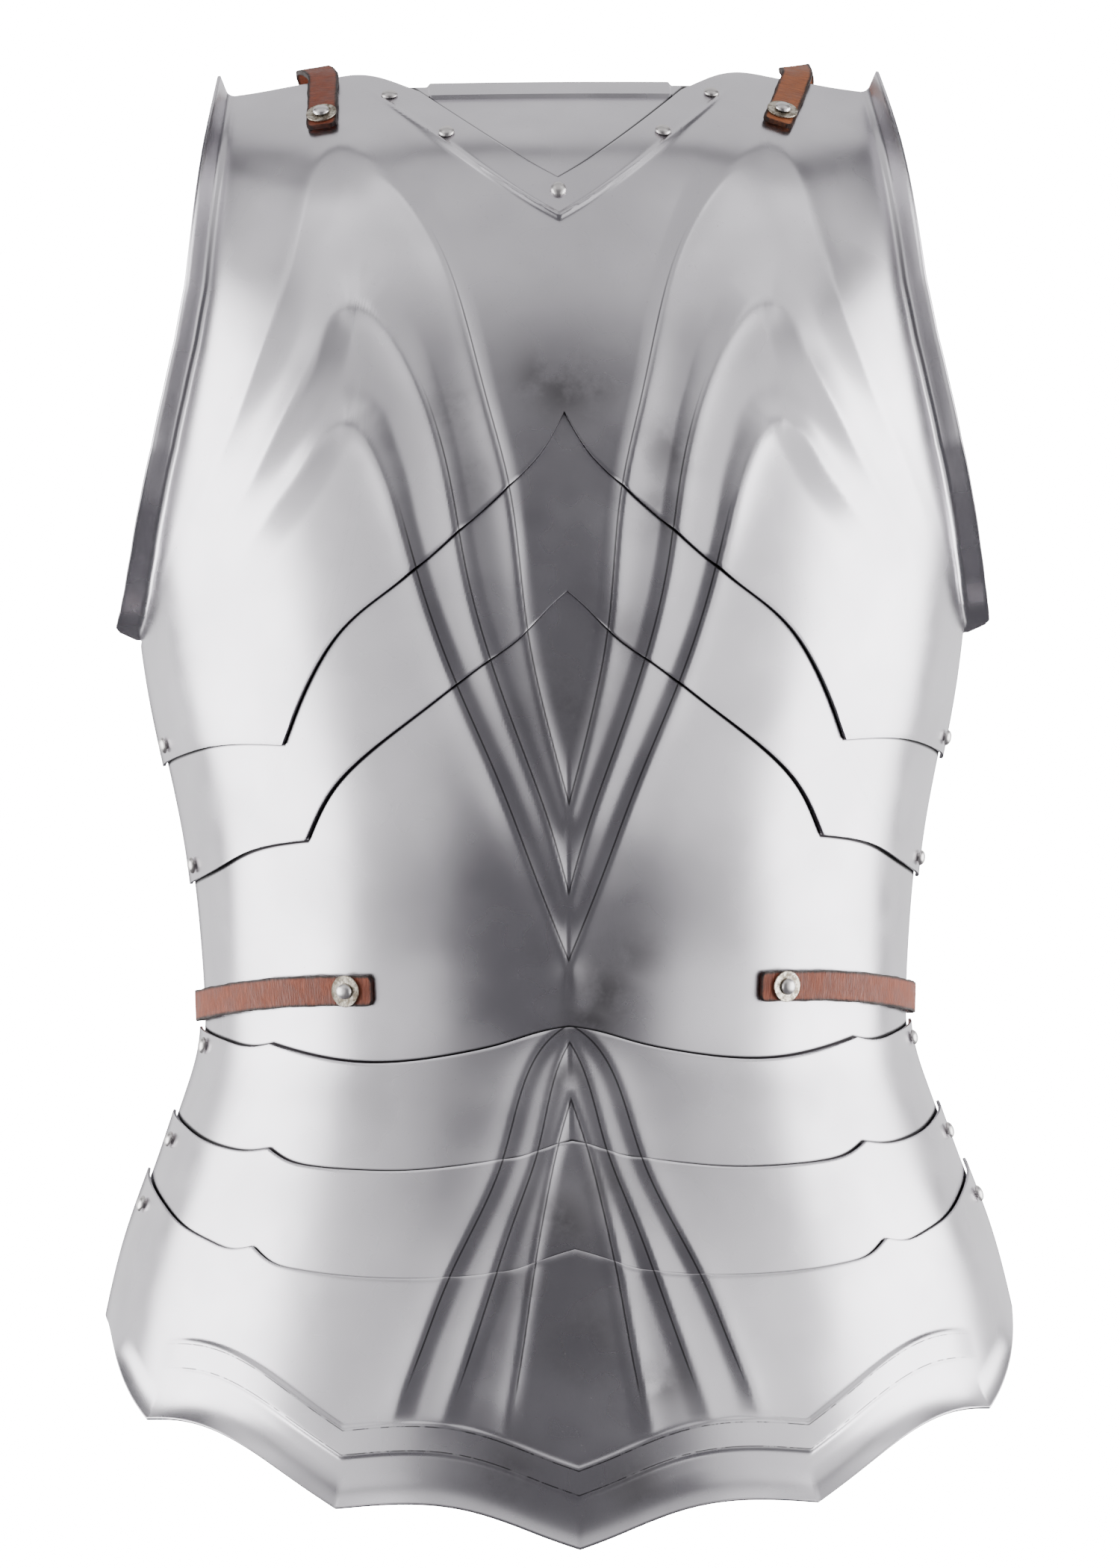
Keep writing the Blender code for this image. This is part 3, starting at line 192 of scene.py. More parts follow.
# %% Sections of the hull
# rise: share of TORSO_RISE above the waist, of FAULD_DROP below it
# half: half width, share of CHEST_HALF; depth: share of CHEST_DEPTH
Section = namedtuple("Section", "rise half depth")
SECTIONS = (
    Section(-1.000, 1.139, 1.105),
    Section(-0.770, 1.096, 1.085),
    Section(-0.600, 1.055, 1.050),
    Section(-0.430, 1.002, 1.000),
    Section(-0.300, 0.944, 0.945),
    Section(-0.176, 0.891, 0.890),
    Section(-0.060, 0.851, 0.840),
    Section(0.000, 0.849, 0.830),
    Section(0.070, 0.857, 0.865),
    Section(0.190, 0.886, 0.955),
    Section(0.330, 0.946, 1.000),
    Section(0.450, 0.979, 0.990),
    Section(0.600, 1.000, 0.922),
    Section(0.727, 0.992, 0.840),
    Section(0.824, 0.975, 0.742),
    Section(0.885, 0.962, 0.632),
    Section(0.933, 0.950, 0.478),
    Section(0.958, 0.944, 0.362),
    Section(0.982, 0.938, 0.228),
    Section(1.000, 0.933, 0.116),
    Section(1.020, 0.926, -0.020),
)

# %% [markdown]
# The spline is the same kind that a draughtsman's bent lath draws. Half an ellipse is laid through
# the half width and the depth at each height, and at the neck the front bows forward a little.

# %% Splines and the hull
BOW_RISE = (0.80, 1.02)     # rises between which the neckline's bow sets in
BOW_POWER = 6               # more keeps the bow closer to the middle


class Spline:
    """The smooth curve through a few values, its second derivative 0 at both ends."""

    def __init__(self, at, values):
        self.at = np.array(at, float)
        self.values = np.array(values, float)
        count = len(self.at)
        gap = np.diff(self.at)
        matrix = np.eye(count)
        right = np.zeros(count)
        for i in range(1, count - 1):
            matrix[i, i - 1:i + 2] = gap[i - 1], 2 * (gap[i - 1] + gap[i]), gap[i]
            slopes = np.diff(self.values[i - 1:i + 2]) / gap[i - 1:i + 1]
            right[i] = 6 * (slopes[1] - slopes[0])
        self.bend = np.linalg.solve(matrix, right)

    def __call__(self, at):
        at = np.clip(np.asarray(at, float), self.at[0], self.at[-1])
        i = np.clip(np.searchsorted(self.at, at) - 1, 0, len(self.at) - 2)
        gap = self.at[i + 1] - self.at[i]
        low, high = (self.at[i + 1] - at) / gap, (at - self.at[i]) / gap
        curve = (low ** 3 - low) * self.bend[i] + (high ** 3 - high) * self.bend[i + 1]
        return low * self.values[i] + high * self.values[i + 1] + curve * gap ** 2 / 6


def height(rise):
    """Metres above the waist of a rise, which is a share of one of two sizes."""
    rise = np.asarray(rise, float)
    return rise * np.where(rise > 0, TORSO_RISE, FAULD_DROP)


def smooth_step(low, high, at):
    share = np.clip((np.asarray(at, float) - low) / (high - low), 0, 1)
    return share * share * (3 - 2 * share)


SECTION_HEIGHTS = height([section.rise for section in SECTIONS])
HALF = Spline(SECTION_HEIGHTS, [section.half * CHEST_HALF for section in SECTIONS])
DEPTH = Spline(SECTION_HEIGHTS, [section.depth * CHEST_DEPTH for section in SECTIONS])


def hull(turn, z):
    """The point of the hull at a turn (-1 to 1) and a height."""
    angle = np.asarray(turn, float) * math.pi / 2
    z = np.asarray(z, float)
    bow = NECK_BOW * smooth_step(*height(BOW_RISE), z) * np.cos(angle) ** BOW_POWER
    return np.stack([HALF(z) * np.sin(angle), -DEPTH(z) * np.cos(angle) - bow, z + 0 * angle], -1)


def unit(vectors):
    return vectors / np.linalg.norm(vectors, axis=-1, keepdims=True)


def hull_normal(turn, z):
    step = 0.0005
    across = hull(turn + step, z) - hull(turn - step, z)
    up = hull(turn, z + step) - hull(turn, z - step)
    return unit(np.cross(across, up))


def at_level(turn, z, lift):
    """A point at a lift from the hull, and the hull's normal there."""
    normal = hull_normal(turn, z)
    return hull(turn, z) + normal * np.asarray(lift)[..., None], normal


def turn_of(across, z, level):
    """The turn at which a point this far across, in metres, lies."""
    return np.arcsin(np.clip(across / (HALF(z) + level * PITCH), 0, 1)) / (math.pi / 2)


print("half width and depth at the waist, mm:", 1000 * HALF(0).round(4), 1000 * DEPTH(0).round(4))

# %% [markdown]
# ## Cut edges
#
# The hems, the neckline and the tops of the lames are cut in curves that meet in corners. Each arc
# is a few points: how far round the body, and how high. They come from places read off the photo,
# which were then converted to these shares and thinned out. A spline joins them.

# %% Cut edges
# A cut edge is one or more arcs that meet in corners. turn, rise
Edge = namedtuple("Edge", "turn rise")
NECKLINE = (Edge((0, 0.034, 0.085, 0.152, 0.211), (0.884, 0.898, 0.922, 0.956, 0.987)),)
SHOULDER_LINE = NECKLINE + (
    Edge((0.211, 0.247, 0.278, 0.322, 0.387, 0.446, 0.510, 0.571),
         (0.987, 0.998, 1.006, 1.010, 1.003, 0.997, 0.991, 0.987)),
)
BREAST_HEM = (
    Edge((0, 0.027, 0.057, 0.146, 0.260, 0.367, 0.442, 0.495),
         (0.631, 0.596, 0.570, 0.513, 0.450, 0.396, 0.333, 0.281)),
    Edge((0.495, 0.578, 0.678, 0.783, 1.0), (0.281, 0.283, 0.281, 0.274, 0.261)),
)
MIDDLE_HEM = (
    Edge((0, 0.030, 0.063, 0.119, 0.229, 0.359, 0.440, 0.481),
         (0.441, 0.422, 0.398, 0.369, 0.317, 0.260, 0.213, 0.178)),
    Edge((0.481, 0.544, 0.633, 0.733, 1.0), (0.178, 0.175, 0.167, 0.152, 0.132)),
)
LAME_1_TOP = (
    Edge((0, 0.050, 0.112, 0.190, 0.287, 0.382, 0.485, 0.602),
         (-0.037, -0.046, -0.065, -0.083, -0.097, -0.099, -0.087, -0.065)),
    Edge((0.602, 0.641, 0.749, 0.843, 1.0), (-0.065, -0.070, -0.063, -0.052, -0.038)),
)
LAME_2_TOP = (
    Edge((0, 0.024, 0.066, 0.121, 0.189, 0.264, 0.347, 0.436, 0.491, 0.535),
         (-0.248, -0.255, -0.272, -0.284, -0.294, -0.301, -0.300, -0.293, -0.281, -0.260)),
    Edge((0.535, 0.577, 0.652, 0.737, 0.824, 1.0), (-0.260, -0.265, -0.260, -0.245, -0.225, -0.196)),
)
LAME_3_TOP = (
    Edge((0, 0.038, 0.071, 0.123, 0.194, 0.285, 0.359, 0.425, 0.472, 0.510),
         (-0.449, -0.464, -0.480, -0.493, -0.500, -0.500, -0.494, -0.484, -0.470, -0.443)),
    Edge((0.510, 0.548, 0.607, 0.690, 0.782, 1.0), (-0.443, -0.449, -0.436, -0.410, -0.373, -0.310)),
)
SCALLOPS = (
    Edge((0, 0.038, 0.076, 0.137, 0.192, 0.252, 0.317),
         (-0.998, -0.978, -0.956, -0.927, -0.915, -0.915, -0.923)),
    Edge((0.317, 0.384, 0.443, 0.513, 0.589, 0.666), (-0.923, -0.870, -0.826, -0.788, -0.770, -0.771)),
    Edge((0.666, 0.711, 0.755, 0.825, 1.0), (-0.771, -0.736, -0.697, -0.640, -0.590)),
)
# The armhole, from its corner at the side up to the shoulder. rise, turn
ARMHOLE_RISE = (
    0.390, 0.396, 0.405, 0.420, 0.444, 0.484, 0.542, 0.598, 0.654, 0.710, 0.772, 0.916, 0.987,
)
ARMHOLE_TURN = (
    1.000, 0.955, 0.910, 0.864, 0.821, 0.773, 0.721, 0.678, 0.646, 0.619, 0.600, 0.584, 0.571,
)


def edge_function(arcs, drop=0.0):
    """Height of a cut edge at a turn, lowered by a drop."""
    curves = [Spline(arc.turn, height(arc.rise)) for arc in arcs]
    starts = [arc.turn[0] for arc in arcs]

    def edge(turn):
        turn = np.abs(np.asarray(turn, float))
        value = curves[0](turn)
        for start, curve in zip(starts[1:], curves[1:]):
            value = np.where(turn > start, curve(turn), value)
        return value - drop
    return edge


def straight_neckline(turn):
    """The neckline, carried on straight past its corner to the shoulder."""
    arc = NECKLINE[0]
    ends = np.array(arc.turn[-2:]), height(arc.rise[-2:])
    slope = (ends[1][1] - ends[1][0]) / (ends[0][1] - ends[0][0])
    turn = np.abs(np.asarray(turn, float))
    return edge_function(NECKLINE)(turn) + slope * np.maximum(turn - ends[0][1], 0)


print("hem of the breast plate at its middle, mm:", round(1000 * float(edge_function(BREAST_HEM)(0)), 1))

# %% [markdown]
# ## Raised ribs
#
# The flames and the rays on the fauld are raised from behind with a hammer and a creasing tool. Seen
# in section, a rib is steep towards the middle of the plate and fades gently away from it. Its crest
# is drawn as a smooth curve through a few points, and the height of any point of the plate depends
# on how far it lies from that curve.

# %% Crests of the ribs
# A rib's crest seen from the front. across: share of CHEST_HALF; rise: share of its rise or drop;
# near, far: width of the slope towards and away from the middle, in rib feet; tall: share of height
Crest = namedtuple("Crest", "across rise near far tall")
FLAME_1 = (
    Crest(0.000, 0.204, 1.0, 2.2, 0.9), Crest(0.059, 0.308, 1.0, 2.4, 0.9),
    Crest(0.098, 0.398, 1.0, 2.6, 0.9), Crest(0.136, 0.553, 1.0, 2.8, 1.0),
    Crest(0.183, 0.644, 1.0, 3.0, 1.0), Crest(0.236, 0.746, 1.1, 3.0, 0.9),
    Crest(0.291, 0.818, 1.3, 2.8, 0.8), Crest(0.343, 0.858, 1.7, 2.6, 0.7),
    Crest(0.409, 0.896, 2.4, 2.6, 0.6), Crest(0.496, 0.922, 3.0, 3.0, 0.5),
    Crest(0.562, 0.880, 2.4, 3.2, 0.5), Crest(0.588, 0.837, 2.0, 3.2, 0.6),
    Crest(0.638, 0.754, 1.8, 3.2, 0.8), Crest(0.688, 0.691, 1.8, 3.0, 0.8),
    Crest(0.774, 0.593, 1.8, 2.4, 0.7), Crest(0.845, 0.522, 1.6, 1.8, 0.1),
)
FLAME_2 = (
    Crest(0.000, 0.109, 1.0, 2.2, 0.9), Crest(0.053, 0.196, 1.0, 2.4, 0.9),
    Crest(0.102, 0.260, 1.0, 2.6, 0.9), Crest(0.186, 0.372, 1.0, 2.8, 1.0),
    Crest(0.238, 0.468, 1.0, 3.0, 1.0), Crest(0.272, 0.564, 1.0, 3.0, 1.0),
    Crest(0.326, 0.656, 1.2, 2.8, 0.9), Crest(0.388, 0.716, 1.6, 2.6, 0.8),
    Crest(0.469, 0.748, 2.4, 2.6, 0.7), Crest(0.517, 0.740, 2.4, 2.8, 0.7),
    Crest(0.547, 0.706, 2.0, 3.0, 0.8), Crest(0.586, 0.666, 1.8, 3.0, 0.9),
    Crest(0.643, 0.618, 1.8, 2.8, 0.9), Crest(0.707, 0.564, 1.8, 2.2, 0.7),
    Crest(0.810, 0.492, 1.6, 1.8, 0.1),
)
FLAME_3 = (
    Crest(0.000, 0.041, 1.0, 2.4, 0.9), Crest(0.081, 0.135, 1.0, 2.6, 0.9),
    Crest(0.159, 0.231, 1.0, 2.8, 0.9), Crest(0.260, 0.342, 1.0, 3.0, 1.0),
    Crest(0.343, 0.455, 1.0, 3.2, 1.0), Crest(0.376, 0.514, 1.0, 3.2, 1.0),
    Crest(0.429, 0.588, 1.4, 3.0, 0.9), Crest(0.484, 0.618, 2.2, 2.8, 0.8),
    Crest(0.538, 0.607, 2.2, 3.0, 0.8), Crest(0.590, 0.573, 1.8, 3.0, 0.8),
    Crest(0.653, 0.537, 1.8, 2.6, 0.7), Crest(0.753, 0.470, 1.6, 1.8, 0.1),
)
FAULD_RIB_1 = (
    Crest(0.000, -0.025, 1.0, 2.4, 0.9), Crest(0.040, -0.048, 1.0, 2.6, 1.0),
    Crest(0.165, -0.279, 1.0, 2.8, 1.0), Crest(0.224, -0.387, 1.0, 3.0, 1.0),
    Crest(0.297, -0.504, 1.0, 3.0, 1.0), Crest(0.352, -0.616, 1.0, 3.0, 1.0),
    Crest(0.397, -0.711, 1.2, 3.0, 0.9), Crest(0.428, -0.785, 1.5, 3.0, 0.3),
)
FAULD_RIB_2 = (
    Crest(0.000, -0.056, 1.0, 2.0, 0.9), Crest(0.012, -0.072, 1.0, 2.2, 0.9),
    Crest(0.085, -0.263, 1.0, 2.4, 1.0), Crest(0.141, -0.387, 1.0, 2.6, 1.0),
    Crest(0.192, -0.504, 1.0, 2.6, 1.0), Crest(0.243, -0.626, 1.0, 2.6, 1.0),
    Crest(0.313, -0.785, 1.4, 2.6, 0.3),
)
FAULD_RIB_3 = (
    Crest(0.000, -0.155, 1.0, 2.0, 0.9), Crest(0.038, -0.253, 1.0, 2.0, 1.0),
    Crest(0.069, -0.359, 1.0, 2.2, 1.0), Crest(0.100, -0.486, 1.0, 2.4, 1.0),
    Crest(0.128, -0.625, 1.0, 2.4, 1.0), Crest(0.150, -0.725, 1.0, 2.4, 1.0),
    Crest(0.167, -0.800, 1.4, 2.4, 0.3),
)
# Where columns of the mesh run, to meet the corners of the cut edges. rise, across
NECK_CORNER_LANE = ((0.551, 0.628, 0.756, 0.916, 0.987), (0.077, 0.103, 0.172, 0.276, 0.305))
NOTCH_LANE = (
    (0.178, 0.281, 0.396, 0.470, 0.556, 0.618, 0.756),
    (0.600, 0.650, 0.604, 0.552, 0.509, 0.484, 0.474),
)

# %% [markdown]
# The height of a rib is worked out in its cross-section: a sharp fall on the side of the middle and a
# long soft one on the other. A flame has a branch that climbs and one that falls away from its top.
# Both are worked out alone and then joined, so that no seam shows between them.

# %% Ribs
SIDE_SOFT = 0.3         # how softly one side of a crest goes over into the other at its ends
INNER_POWER = 1.6       # more makes the foot of the steep side softer
OUTER_SHARE = 0.6       # share of its width over which the outer slope falls to a third
CREST_ROUND = 0.35      # how round a crest is, as a share of the width of its outer slope
BRANCH_POWER = 5        # more makes the meeting of two branches sharper
CREASE_FADE = 9         # points of a crest over which its crisp line fades out at the top
FLAME_FULL = (0.40, 0.55)   # rises between which the flames reach their full height
KEEL_TOP = (0.06, 0.02)     # rises between which the keel sets in
KEEL_FOOT = (-0.04, 0.0)


class Rib:
    """A raised line on the hull: steep towards the middle, gentle away from it."""

    def __init__(self, rows, tall, samples=90):
        places = np.array([(row.across * CHEST_HALF, float(height(row.rise))) for row in rows])
        steps = np.linalg.norm(np.diff(places, axis=0), axis=1)
        along = np.concatenate([[0], np.cumsum(steps)])
        even = np.linspace(0, along[-1], samples)
        self.places = np.stack([Spline(along, places[:, i])(even) for i in (0, 1)], -1)
        self.near = np.interp(even, along, [row.near * RIB_FOOT for row in rows])
        self.far = np.interp(even, along, [row.far * RIB_FOOT for row in rows])
        self.tall = np.interp(even, along, [row.tall * tall for row in rows])
        self.top = int(np.argmax(self.places[:, 1]))

    def locate(self, across, z, first=0, last=None):
        """For each point: its distance from the crest, where along it, and how far outward it lies."""
        spots = np.stack([np.abs(across), z], -1)
        places = self.places[first:last]
        start, end = places[:-1], places[1:]
        run = end - start
        rel = spots[:, None, :] - start[None]
        share = np.clip((rel * run).sum(-1) / (run * run).sum(-1), 0, 1)
        away = rel - share[..., None] * run
        distance = np.linalg.norm(away, axis=-1)
        nearest = distance.argmin(1)
        pick = np.arange(len(spots)), nearest
        outward = away[pick][:, 0] / np.maximum(distance[pick], 1e-7)
        return distance[pick], first + nearest + share[pick], smooth_step(-SIDE_SOFT, SIDE_SOFT, outward)

    def relief(self, across, z):
        """The height of the rib: its branch up to the top and its falling one run into each other."""
        branches = [(0, self.top + 1), (self.top, None)] if self.top > 0 else [(0, None)]
        rows = np.arange(len(self.near))
        total = 0
        for first, last in branches:
            distance, place, outward = self.locate(across, z, first, last)
            widths = self.near, self.far, self.tall
            near, far, tall = (np.interp(place, rows, values) for values in widths)
            inner = np.clip(1 - distance / (RIB_INNER * near), 0, 1) ** INNER_POWER
            gentle = np.exp(CREST_ROUND - np.hypot(CREST_ROUND, distance / (OUTER_SHARE * far)))
            total = total + (tall * (outward * gentle + (1 - outward) * inner)) ** BRANCH_POWER
        return total ** (1 / BRANCH_POWER)

    def crease(self, across, z):
        """Distance from the crest, less than 0 towards the middle, and how crisp the crest is there."""
        distance, place, outward = self.locate(across, z)
        inner_branch = self.top if self.top > 0 else len(self.places)
        crisp = smooth_step(inner_branch - CREASE_FADE, inner_branch - 2 * CREASE_FADE, place)
        return distance * (2 * outward - 1), crisp


FLAMES = [Rib(rows, FLAME_HEIGHT) for rows in (FLAME_1, FLAME_2, FLAME_3)]
FAULD_RIBS = [Rib(rows, FAULD_RIB_HEIGHT) for rows in (FAULD_RIB_3, FAULD_RIB_2, FAULD_RIB_1)]


def torso_relief(place, turn, above, below):
    """The three flames, lower where they come together, and the short keel under their points."""
    show = smooth_step(UPPER_LAP - LAP_SHOW, UPPER_LAP, below)
    across, z = place[:, 0], place[:, 2]
    full = smooth_step(*height(FLAME_FULL), z)
    scale = VEE_HEIGHT / FLAME_HEIGHT
    keel = KEEL_HEIGHT * np.exp(1 - np.sqrt(1 + (across / KEEL_WIDTH) ** 2))
    keel *= smooth_step(*KEEL_TOP, z / TORSO_RISE) * smooth_step(*KEEL_FOOT, z / FAULD_DROP)
    return show * sum(rib.relief(across, z) for rib in FLAMES) * (scale + (1 - scale) * full) + keel


def breast_relief(place, turn, above, below):
    drop = straight_neckline(turn) - BEAD_DROP - place[:, 2]
    bead = BEAD_HEIGHT * np.exp(-(2 * drop / BEAD_WIDTH) ** 2)
    bead *= smooth_step(BEAD_ENDS[1], BEAD_ENDS[0], np.abs(turn))
    return torso_relief(place, turn, above, below + UPPER_LAP) + bead


def fauld_relief(place, turn, above, below):
    show = smooth_step(FAULD_LAP - LAP_SHOW, FAULD_LAP, above)
    return show * sum(rib.relief(place[:, 0], place[:, 2]) for rib in FAULD_RIBS)


def lowest_relief(place, turn, above, below):
    """The ribs, the two embossed lines along the scallops, the hollow and the lip below them."""
    ribs = fauld_relief(place, turn, above + FAULD_LAP, below)
    ribs *= smooth_step(BORDER_UPPER - BORDER_SLOPE / 2, BORDER_UPPER + 2 * BORDER_SLOPE, above)
    step_up = BORDER_HEIGHT * smooth_step(BORDER_UPPER + BORDER_SLOPE, BORDER_UPPER, above)
    step_down = BORDER_HEIGHT * smooth_step(BORDER_LOWER, BORDER_LOWER - BORDER_SLOPE, above)
    border = (step_up - step_down) * smooth_step(BORDER_ENDS[1], BORDER_ENDS[0], np.abs(turn))
    lip = LIP_OUT * np.clip(1 - above / LIP_WIDTH, 0, 1) ** 2
    return ribs + border + lip * smooth_step(LIP_ENDS[1], LIP_ENDS[0], np.abs(turn))


def neck_relief(place, turn, above, below):
    fold = smooth_step(HEM_FOLD_WIDTH + HEM_FOLD_SLOPE, HEM_FOLD_WIDTH, below)
    fold *= smooth_step(HEM_FOLD_ENDS[1], HEM_FOLD_ENDS[0], np.abs(turn))
    return HEM_FOLD * fold - NECK_ROOM


print("points of the first flame's crest:", len(FLAMES[0].places), "top at:", FLAMES[0].top)

# %% [markdown]
# ## Laying a plate
#
# A plate starts as a plain grid primitive. Its columns are close together, so that the creases stay
# crisp, and some of them run through the corners of the cut edges. Its rows are even along the steel,
# with close rows where a bead, a folded rim or an embossed line needs them.

# %% Columns
class Lanes:
    """Mesh columns that run between guides, each guide a turn for every height."""
    least = 0.004       # the least turn between two guides

    def __init__(self, guides):
        self.guides = guides

    def turn(self, columns, z):
        at = np.array([guide(z) for guide in self.guides])
        for k in range(1, len(at) - 1):
            at[k] = np.maximum(at[k], at[k - 1] + self.least)
        k = np.minimum(columns.astype(int), len(at) - 2)
        low = np.take_along_axis(at, k[None], 0)[0]
        high = np.take_along_axis(at, k[None] + 1, 0)[0]
        return low + (high - low) * (columns - k)


def drawn_lane(table, level):
    heights, across = height(table[0]), np.array(table[1]) * CHEST_HALF
    return lambda z: turn_of(np.interp(z, heights, across), z, level)


def fixed(turn):
    return lambda z: turn + 0 * np.asarray(z, float)


def armhole(z):
    return np.interp(z, height(ARMHOLE_RISE), ARMHOLE_TURN)

# %% [markdown]
# A column meets the hem and the top of its plate where its turn does, which takes a few rounds of
# trying. The rows between are spaced by the length of steel, not by the height.

# %% Rows
# foot, head: metres beside the lower and the upper edge that have close rows of their own
Rows = namedtuple("Rows", "foot foot_rows middle head head_rows")
ARC_SAMPLES = 80
EDGE_ROUNDS = 50


def solve_edge(edge, lanes, columns):
    """Where each column meets a cut edge, by going half way there again and again."""
    z = np.full(len(columns), float(edge(0)))
    for _ in range(EDGE_ROUNDS):
        z = 0.5 * (z + edge(lanes.turn(columns, z)))
    return z


def row_heights(lanes, columns, low, high, rows):
    """z[column, row]: close rows beside the edges, the others evenly along the steel."""
    low, high = low[:, None], high[:, None]
    foot = low + np.linspace(0, rows.foot, rows.foot_rows + 1)[None, :-1]
    head = high - np.linspace(rows.head, 0, rows.head_rows + 1)[None, 1:]
    start, end = low + rows.foot, high - rows.head
    fine = start + (end - start) * np.linspace(0, 1, ARC_SAMPLES)[None]
    spots = hull(lanes.turn(columns[:, None] + 0 * fine, fine), fine)
    run = np.cumsum(np.linalg.norm(np.diff(spots, axis=1), axis=-1), axis=1)
    run = np.concatenate([np.zeros_like(low), run], axis=1)
    middle = [np.interp(np.linspace(0, r[-1], rows.middle + 1), r, z) for r, z in zip(run, fine)]
    return np.concatenate([foot, np.array(middle), head], axis=1)


def half_plate(name, lanes, counts, hem, top, rows, relief):
    """The outer face of one half of a plate: points[column, row] and the hull's normals."""
    columns = [k + i / count for k, count in enumerate(counts) for i in range(count)]
    columns = np.array(columns + [len(counts)], float)
    low, high = solve_edge(hem, lanes, columns), solve_edge(top, lanes, columns)
    z = row_heights(lanes, columns, low, high, rows)
    turn = lanes.turn(columns[:, None] + 0 * z, z)
    base, normal = at_level(turn, z, np.full(z.shape, LEVELS[name] * PITCH))
    above, below = z - low[:, None], high[:, None] - z
    raised = relief(base.reshape(-1, 3), turn.ravel(), above.ravel(), below.ravel())
    return base + normal * raised.reshape(z.shape)[..., None], normal

# %% [markdown]
# Each vertex of the grid is laid on its point, the sheet gets its thickness inwards, and the cut rim
# is rounded a little, because a filed edge catches a thin line of light.

# %% Laying the sheet
RIM_ROUND = 0.00035     # rounding of a cut edge
RIM_ANGLE, SMOOTH_ANGLE = 70, 40    # degrees


def add_point_values(thing, name, values):
    """Keeps one number for each vertex, for a material to read."""
    thing.data.attributes.new(name, "FLOAT", "POINT").data.foreach_set("value", values)


def vertex_places(thing):
    flat = np.zeros(3 * len(thing.data.vertices))
    thing.data.vertices.foreach_get("co", flat)
    return flat.reshape(-1, 3)


def lay_sheet(name, points, dropped=None, values=None):
    """A grid primitive whose vertices are laid on the points; dropped ones are deleted."""
    count_x, count_y = points.shape[:2]
    bpy.ops.mesh.primitive_grid_add(x_subdivisions=count_x - 1, y_subdivisions=count_y - 1)
    sheet = bpy.context.object
    sheet.name = sheet.data.name = name
    flat = vertex_places(sheet)
    order = np.lexsort((flat[:, 0].round(5), flat[:, 1].round(5)))
    places = np.empty_like(flat)
    places[order] = points.transpose(1, 0, 2).reshape(-1, 3)
    sheet.data.vertices.foreach_set("co", places.ravel())
    for label, table in (values or {}).items():
        row = np.empty(len(flat))
        row[order] = table.T.ravel()
        add_point_values(sheet, label, row)
    if dropped is not None:
        mask = np.empty(len(flat), bool)
        mask[order] = dropped.T.ravel()
        bpy.ops.object.mode_set(mode="EDIT")
        bpy.ops.mesh.select_mode(type="VERT")
        bpy.ops.mesh.select_all(action="DESELECT")
        bpy.ops.object.mode_set(mode="OBJECT")
        sheet.data.vertices.foreach_set("select", mask)
        bpy.ops.object.mode_set(mode="EDIT")
        bpy.ops.mesh.delete(type="VERT")
        bpy.ops.object.mode_set(mode="OBJECT")
    return sheet


def thicken(sheet, thick, rim):
    """Thickness inwards from the outer face, then a small rounding of the cut rim."""
    solid = sheet.modifiers.new("thickness", "SOLIDIFY")
    solid.thickness = thick
    solid.offset = -1
    bpy.ops.object.modifier_apply(modifier=solid.name)
    bevel = sheet.modifiers.new("filed rim", "BEVEL")
    bevel.width = rim
    bevel.segments = 2
    bevel.limit_method = "ANGLE"
    bevel.angle_limit = math.radians(RIM_ANGLE)
    bpy.ops.object.modifier_apply(modifier=bevel.name)
    bpy.ops.object.shade_smooth_by_angle(angle=math.radians(SMOOTH_ANGLE))
    sheet.select_set(False)


def both_halves(half):
    """The whole width from one half: its mirror image, then the half itself."""
    return np.concatenate([half[:0:-1] * np.array([-1, 1, 1]), half])


# %% [markdown]
# ## Painted shade, shadow and dull spots
#
# Polish stays on the broad sides. The creases beside a rib's crest and the embossed lines get thin lines
# of painted shade, the gap beside a covering plate gets a painted shadow line, and a few grey, clouded
# spots are painted dark: partly dull, less polished steel and partly painted dark reflection and shadow.
# The distances to all these are kept at each vertex, and the steel's material draws its painted lines by
# them.

# %% Painted shade, shadow and dull spots
# across, reach: metres, reach being how far a spot spreads; rise: as of a section; dark: how dark it is
# Clouded dark spots: partly dull, less polished steel, partly painted dark reflection and painted shadow, as
# beside the keel
DullShadeSpot = namedtuple("DullShadeSpot", "across rise reach dark")
DULL_SHADE_SPOTS = (
    DullShadeSpot(0.000, 0.655, 0.016, 1.0), DullShadeSpot(-0.012, 0.668, 0.012, 0.8),
    DullShadeSpot(0.014, 0.662, 0.012, 0.8), DullShadeSpot(-0.047, 0.630, 0.013, 0.7),
    DullShadeSpot(-0.041, 0.560, 0.010, 0.6), DullShadeSpot(0.046, 0.590, 0.014, 0.8),
    DullShadeSpot(0.041, 0.520, 0.011, 0.7), DullShadeSpot(0.016, 0.012, 0.015, 1.0),
    DullShadeSpot(0.010, -0.030, 0.012, 1.0), DullShadeSpot(0.030, 0.050, 0.012, 0.6),
    DullShadeSpot(0.000, 0.330, 0.020, 0.6), DullShadeSpot(0.020, 0.400, 0.012, 0.6),
    DullShadeSpot(-0.016, 0.360, 0.010, 0.5), DullShadeSpot(0.000, -0.130, 0.012, 0.8),
    DullShadeSpot(-0.006, -0.400, 0.014, 0.9), DullShadeSpot(0.014, -0.330, 0.012, 0.7),
    DullShadeSpot(0.038, -0.700, 0.012, 0.9), DullShadeSpot(-0.024, -0.520, 0.010, 0.6),
    DullShadeSpot(0.004, -0.620, 0.018, 0.5), DullShadeSpot(-0.030, -0.860, 0.014, 0.7),
    DullShadeSpot(0.026, -0.880, 0.014, 0.8),
)
FAR = 8.0               # mm, past which a distance doesn't matter


